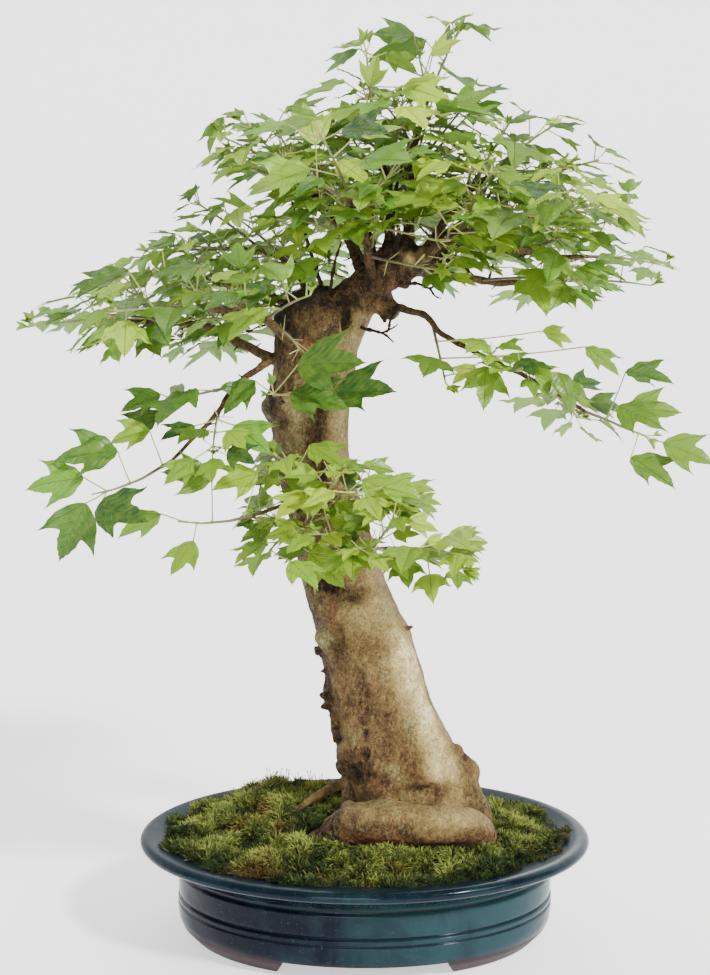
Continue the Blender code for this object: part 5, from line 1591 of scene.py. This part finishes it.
def make_moss(bark, finishes):
    """A dark bed in cushions, with strands and seed stalks all over it."""
    draw = np.random.default_rng(41)
    turn, far = draw.uniform(0, 2 * math.pi, CUSHIONS), np.sqrt(draw.uniform(0, 1, CUSHIONS))
    spots = list(zip(MOSS_X * far * np.cos(turn), MOSS_Y * far * np.sin(turn),
                     draw.uniform(11, 25, CUSHIONS), draw.uniform(3, 9, CUSHIONS)))

    def bed(x, y):
        share = np.hypot(x / (MOSS_X + 2), y / (MOSS_Y + 2))
        edge = np.clip((1 - share) * 9, 0, 1) ** 0.5
        top = moss_height(x, y) - 6 + cushion_field(x, y, spots) - MOSS_LUMP * 0.5
        rim = POT_HEIGHT - 2.0
        return rim + (top - rim) * edge

    rings = [(f, lambda x, y: soil_height(x, y) + GAP) for f in (0.3, 0.6, 0.86)]
    rings += [(f, POT_HEIGHT - 3.2) for f in (0.97, 1)]
    rings += [(f, bed) for f in np.linspace(1, 0.04, 52)]
    points, faces = oval_body([(MOSS_X * f, MOSS_Y * f, z) for f, z in rings], 200)
    piece = build("moss_bed", [tuple(p / MM) for p in points], faces, finishes, "moss", BED_TINT)
    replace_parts(piece, "moss")
    make_strands(bed, spots, bark, finishes, draw)
    make_sprouts(bed, bark)


def make_strands(bed, spots, bark, finishes, draw):
    """Strands of two thin faces and a tip that fan out from many small tufts, in three pieces."""
    turn, far = draw.uniform(0, 2 * math.pi, STRANDS), np.sqrt(draw.uniform(0, 1, STRANDS))
    ragged = 1 + 0.022 * np.sin(turn * 13 + 1) + 0.015 * np.sin(turn * 31)
    x, y = MOSS_X * far * np.cos(turn) * ragged, MOSS_Y * far * np.sin(turn) * ragged
    z = bed(x, y)
    step = 1.5
    slope = np.stack([(bed(x - step, y) - bed(x + step, y)) / (2 * step),
                      (bed(x, y - step) - bed(x, y + step)) / (2 * step), np.ones(STRANDS)], 1)
    i, j = np.round(x / TUFT), np.round(y / TUFT)
    jitter = np.stack([np.sin(i * 12.9898 + j * 78.233) * 43758.5453,
                       np.sin(i * 39.346 + j * 11.135) * 24634.6345,
                       np.sin(i * 73.156 + j * 52.235) * 31415.9265], 1) % 1
    fan = np.stack([x - (i + jitter[:, 0] - 0.5) * TUFT, y - (j + jitter[:, 1] - 0.5) * TUFT,
                    np.zeros(STRANDS)], 1) / TUFT
    heading = unit(unit(np.clip(slope, -1.6, 1.6)) * 0.8 + fan * 2.2
                   + draw.normal(0, 0.34, (STRANDS, 3)) + np.array((0, 0, 0.3)))
    length = draw.uniform(3.5, 11, STRANDS) * (0.7 + 0.6 * jitter[:, 2])
    root = np.stack([x, y, z - 1.2], 1)
    keep = np.array([is_clear(bark, p + h * 4.0) for p, h in zip(root, heading)])
    root, heading, length, jitter, fan, x, y = (
        values[keep] for values in (root, heading, length, jitter, fan, x, y))
    count = len(root)
    across = unit(np.cross(heading, draw.normal(0, 1, (count, 3))))
    width = draw.uniform(0.45, 0.8, count)[:, None]
    bend = np.array((0, 0, -1)) * draw.uniform(0.05, 0.32, count)[:, None]
    bend = bend + across * draw.normal(0, 0.12, count)[:, None]
    middle = root + heading * (length * 0.55)[:, None]
    tip = root + (heading + bend) * length[:, None]
    points = np.stack([root - across * width, root + across * width, middle - across * width * 0.8,
                       middle + across * width * 0.8, tip], 1).reshape(-1, 3)
    first = np.arange(count)[:, None, None] * 5
    faces = (first + np.array([[0, 1, 3], [0, 3, 2], [2, 3, 4]])[None]).reshape(-1, 3)

    # painted light on tall and sunlit tufts, painted shade at the front edge and by the left root,
    # darker towards each tuft's rim, dry patches
    tall = np.clip((cushion_field(x, y, spots) + 3) / 9, 0, 1)
    sun = np.array([noise.noise(Vector((a, b, 3)) / 26) + 0.6 * noise.noise(
        Vector((a, b, 9)) / 9) for a, b in zip(x, y)])
    edge = np.hypot(x / MOSS_X, y / MOSS_Y)
    moss_painted_shade = 0.05 + 0.6 * np.clip((edge - 0.78) / 0.16, 0, 1) * (y < 0)
    moss_painted_shade = np.maximum(moss_painted_shade, 0.7 * hill(x, y, -42, -18, 26, 26))
    rim = np.clip(np.hypot(fan[:, 0], fan[:, 1]) * 2, 0, 1) ** 2
    hue = np.clip(0.4 * jitter[:, 2] + 0.6 * (tall - 0.3) + 0.8 * sun - moss_painted_shade - 0.4 * rim
                  + draw.normal(0.2, 0.14, count), 0, 1)[:, None]
    dry = np.maximum(hill(x, y, -108, -10, 16, 12), 0.8 * hill(x, y, -90, -104, 22, 9))
    dry = np.clip(dry + (jitter[:, 1] > 0.93) * 0.6, 0, 1)[:, None]
    dry = dry * draw.uniform(0.2, 1, count)[:, None]
    deep = blend(DEEP_SHADE, DEEP_LIGHT, hue)
    high = blend(blend(TIP_SHADE, TIP_LIGHT, hue), TIP_DRY, dry)
    half = (deep + high) / 2
    # Darker still at the roots, as painted shade deep in the moss.
    tint = np.stack([deep * 0.35, deep * 0.35, half, half, high], 1).reshape(-1, 3)
    thirds = np.quantile(root[:, 0], (0, 1 / 3, 2 / 3, 1))
    for n in range(3):
        inside = (root[:, 0] >= thirds[n]) & (root[:, 0] < thirds[n + 1] + (n == 2))
        own = np.repeat(inside, 5)
        number = np.cumsum(own) - 1
        build(f"moss_strands_{n + 1}", points[own], number[faces[np.repeat(inside, 3)]], finishes,
              "moss", tint[own])


def make_sprouts(bed, bark):
    """Thin dark seed stalks that stand out of the moss heaped at the back left."""
    parts, draw = Parts(), random.Random("sprouts")
    for _ in range(70):
        x, y = draw.gauss(-92, 26), draw.gauss(66, 20)
        if (x / 165) ** 2 + (y / 122) ** 2 > 1 or not is_clear(bark, (x, y, 110), 4):
            continue
        foot = Vector((x, y, float(bed(x, y))))
        lean = Vector((draw.uniform(-0.5, 0.5), draw.uniform(-0.5, 0.2), 1)).normalized()
        tall = draw.uniform(9, 17)
        path = [foot + lean * tall * s + Vector((s * s * 2, 0, 0)) for s in (0, 0.4, 0.8, 1)]
        parts.add(*fine_tube(path, [0.32, 0.28, 0.26, 0.5], 4), SPROUT_TINT)
    parts.build("moss_sprouts", [FINISHES["twig"]], "moss")


FLOOR_REACH = 80
# Soft lamps: name, place in metres, size and power
LAMPS = (("key", (1.6, -1.3, 1.5), 1.0, 26), ("fill", (-0.3, -2.3, 0.9), 1.2, 27),
         ("top", (-0.2, 0.3, 2.3), 1.2, 10))
CAMERA, CAMERA_DOWN = (-8.6, -1475, 608), 0.143  # in millimetres, and radians below level


def facing(way, axis):
    return way.to_track_quat(axis, "Y").to_euler()


def make_stage():
    """A pale floor that curves up behind, soft lights and the photograph's camera."""
    profile = [(-FLOOR_REACH, 0), (1.6, 0)]
    profile += [(1.6 + math.sin(a), 1 - math.cos(a)) for a in np.linspace(0.1, math.pi / 2, 16)]
    profile.append((2.6, 6))
    points = [(x, y, z) for y, z in profile for x in (-FLOOR_REACH, FLOOR_REACH)]
    faces = [(2 * i, 2 * i + 1, 2 * i + 3, 2 * i + 2) for i in range(len(profile) - 1)]
    floor = new_object("floor", points, faces)
    floor.data.shade_smooth()
    finish = Finish("floor", Roughness=0.95, Specular_IOR_Level=0.1,
                    Emission_Color=(1, 1, 1, 1), Emission_Strength=0.85)
    floor.data.materials.append(finish.base((0.88, 0.88, 0.88)))
    world = bpy.data.worlds.new("studio")
    world.use_nodes = True
    back = world.node_tree.nodes["Background"]
    back.inputs["Color"].default_value = (1, 1, 1, 1)
    back.inputs["Strength"].default_value = 0.42
    bpy.context.scene.world = world
    sun = bpy.data.lights.new("sun", "SUN")
    sun.energy, sun.angle = 4.2, math.radians(7)
    link_object("sun", sun).rotation_euler = facing(Vector((1.0, -1.0, 1.1)), "Z")
    for name, place, size, power in LAMPS:
        light = bpy.data.lights.new(name, "AREA")
        light.shape, light.size, light.energy = "DISK", size, power
        lamp = link_object(name, light)
        lamp.location = place
        lamp.rotation_euler = facing(Vector((0, 0, 0.35)) - lamp.location, "-Z")
    lens = bpy.data.cameras.new("photograph")
    lens.lens, lens.sensor_width, lens.sensor_fit = 63.47, 36, "AUTO"
    camera = link_object("photograph", lens)
    camera.location = (Vector(PLACE) + Vector(CAMERA)) * MM
    camera.rotation_euler = (math.pi / 2 - CAMERA_DOWN, 0, 0)
    bpy.context.scene.camera = camera


make_stage()
FINISHES = {"leaf": leaf_finish(), "twig": twig_finish(), "bark": bark_finish(),
            "glaze": glaze_finish(), "soil": soil_finish(), "moss": moss_finish()}
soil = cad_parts["soil"].data.materials
soil.clear()
soil.append(FINISHES["soil"])
solid = make_solid_trunk()
BARK = bark_tree(solid)
bpy.data.objects.remove(solid)
STEMS, TREES = grow_stems(BARK)
CROWN = grow_leaves(BARK, STEMS, TREES)
TEMPLATE = blade_template(BLADE_GRID, True)
for stem in STEMS:
    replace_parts(make_leaves("leaves_" + stem.name, [stem], TEMPLATE), "spray_" + stem.name)
FILL = grow_fill(BARK, TREES, CROWN)
TEMPLATE = blade_template(FILL_GRID, False)
for bough in BOUGHS:
    twigs = [stem for stem in FILL if stem.name.startswith(bough + "_fill")]
    if twigs:
        make_leaves("fill_" + bough, twigs, TEMPLATE)
make_bark([FINISHES["bark"]])
make_boughs([FINISHES["bark"]])
make_pot([FINISHES["glaze"]])
make_moss(BARK, [FINISHES["moss"]])
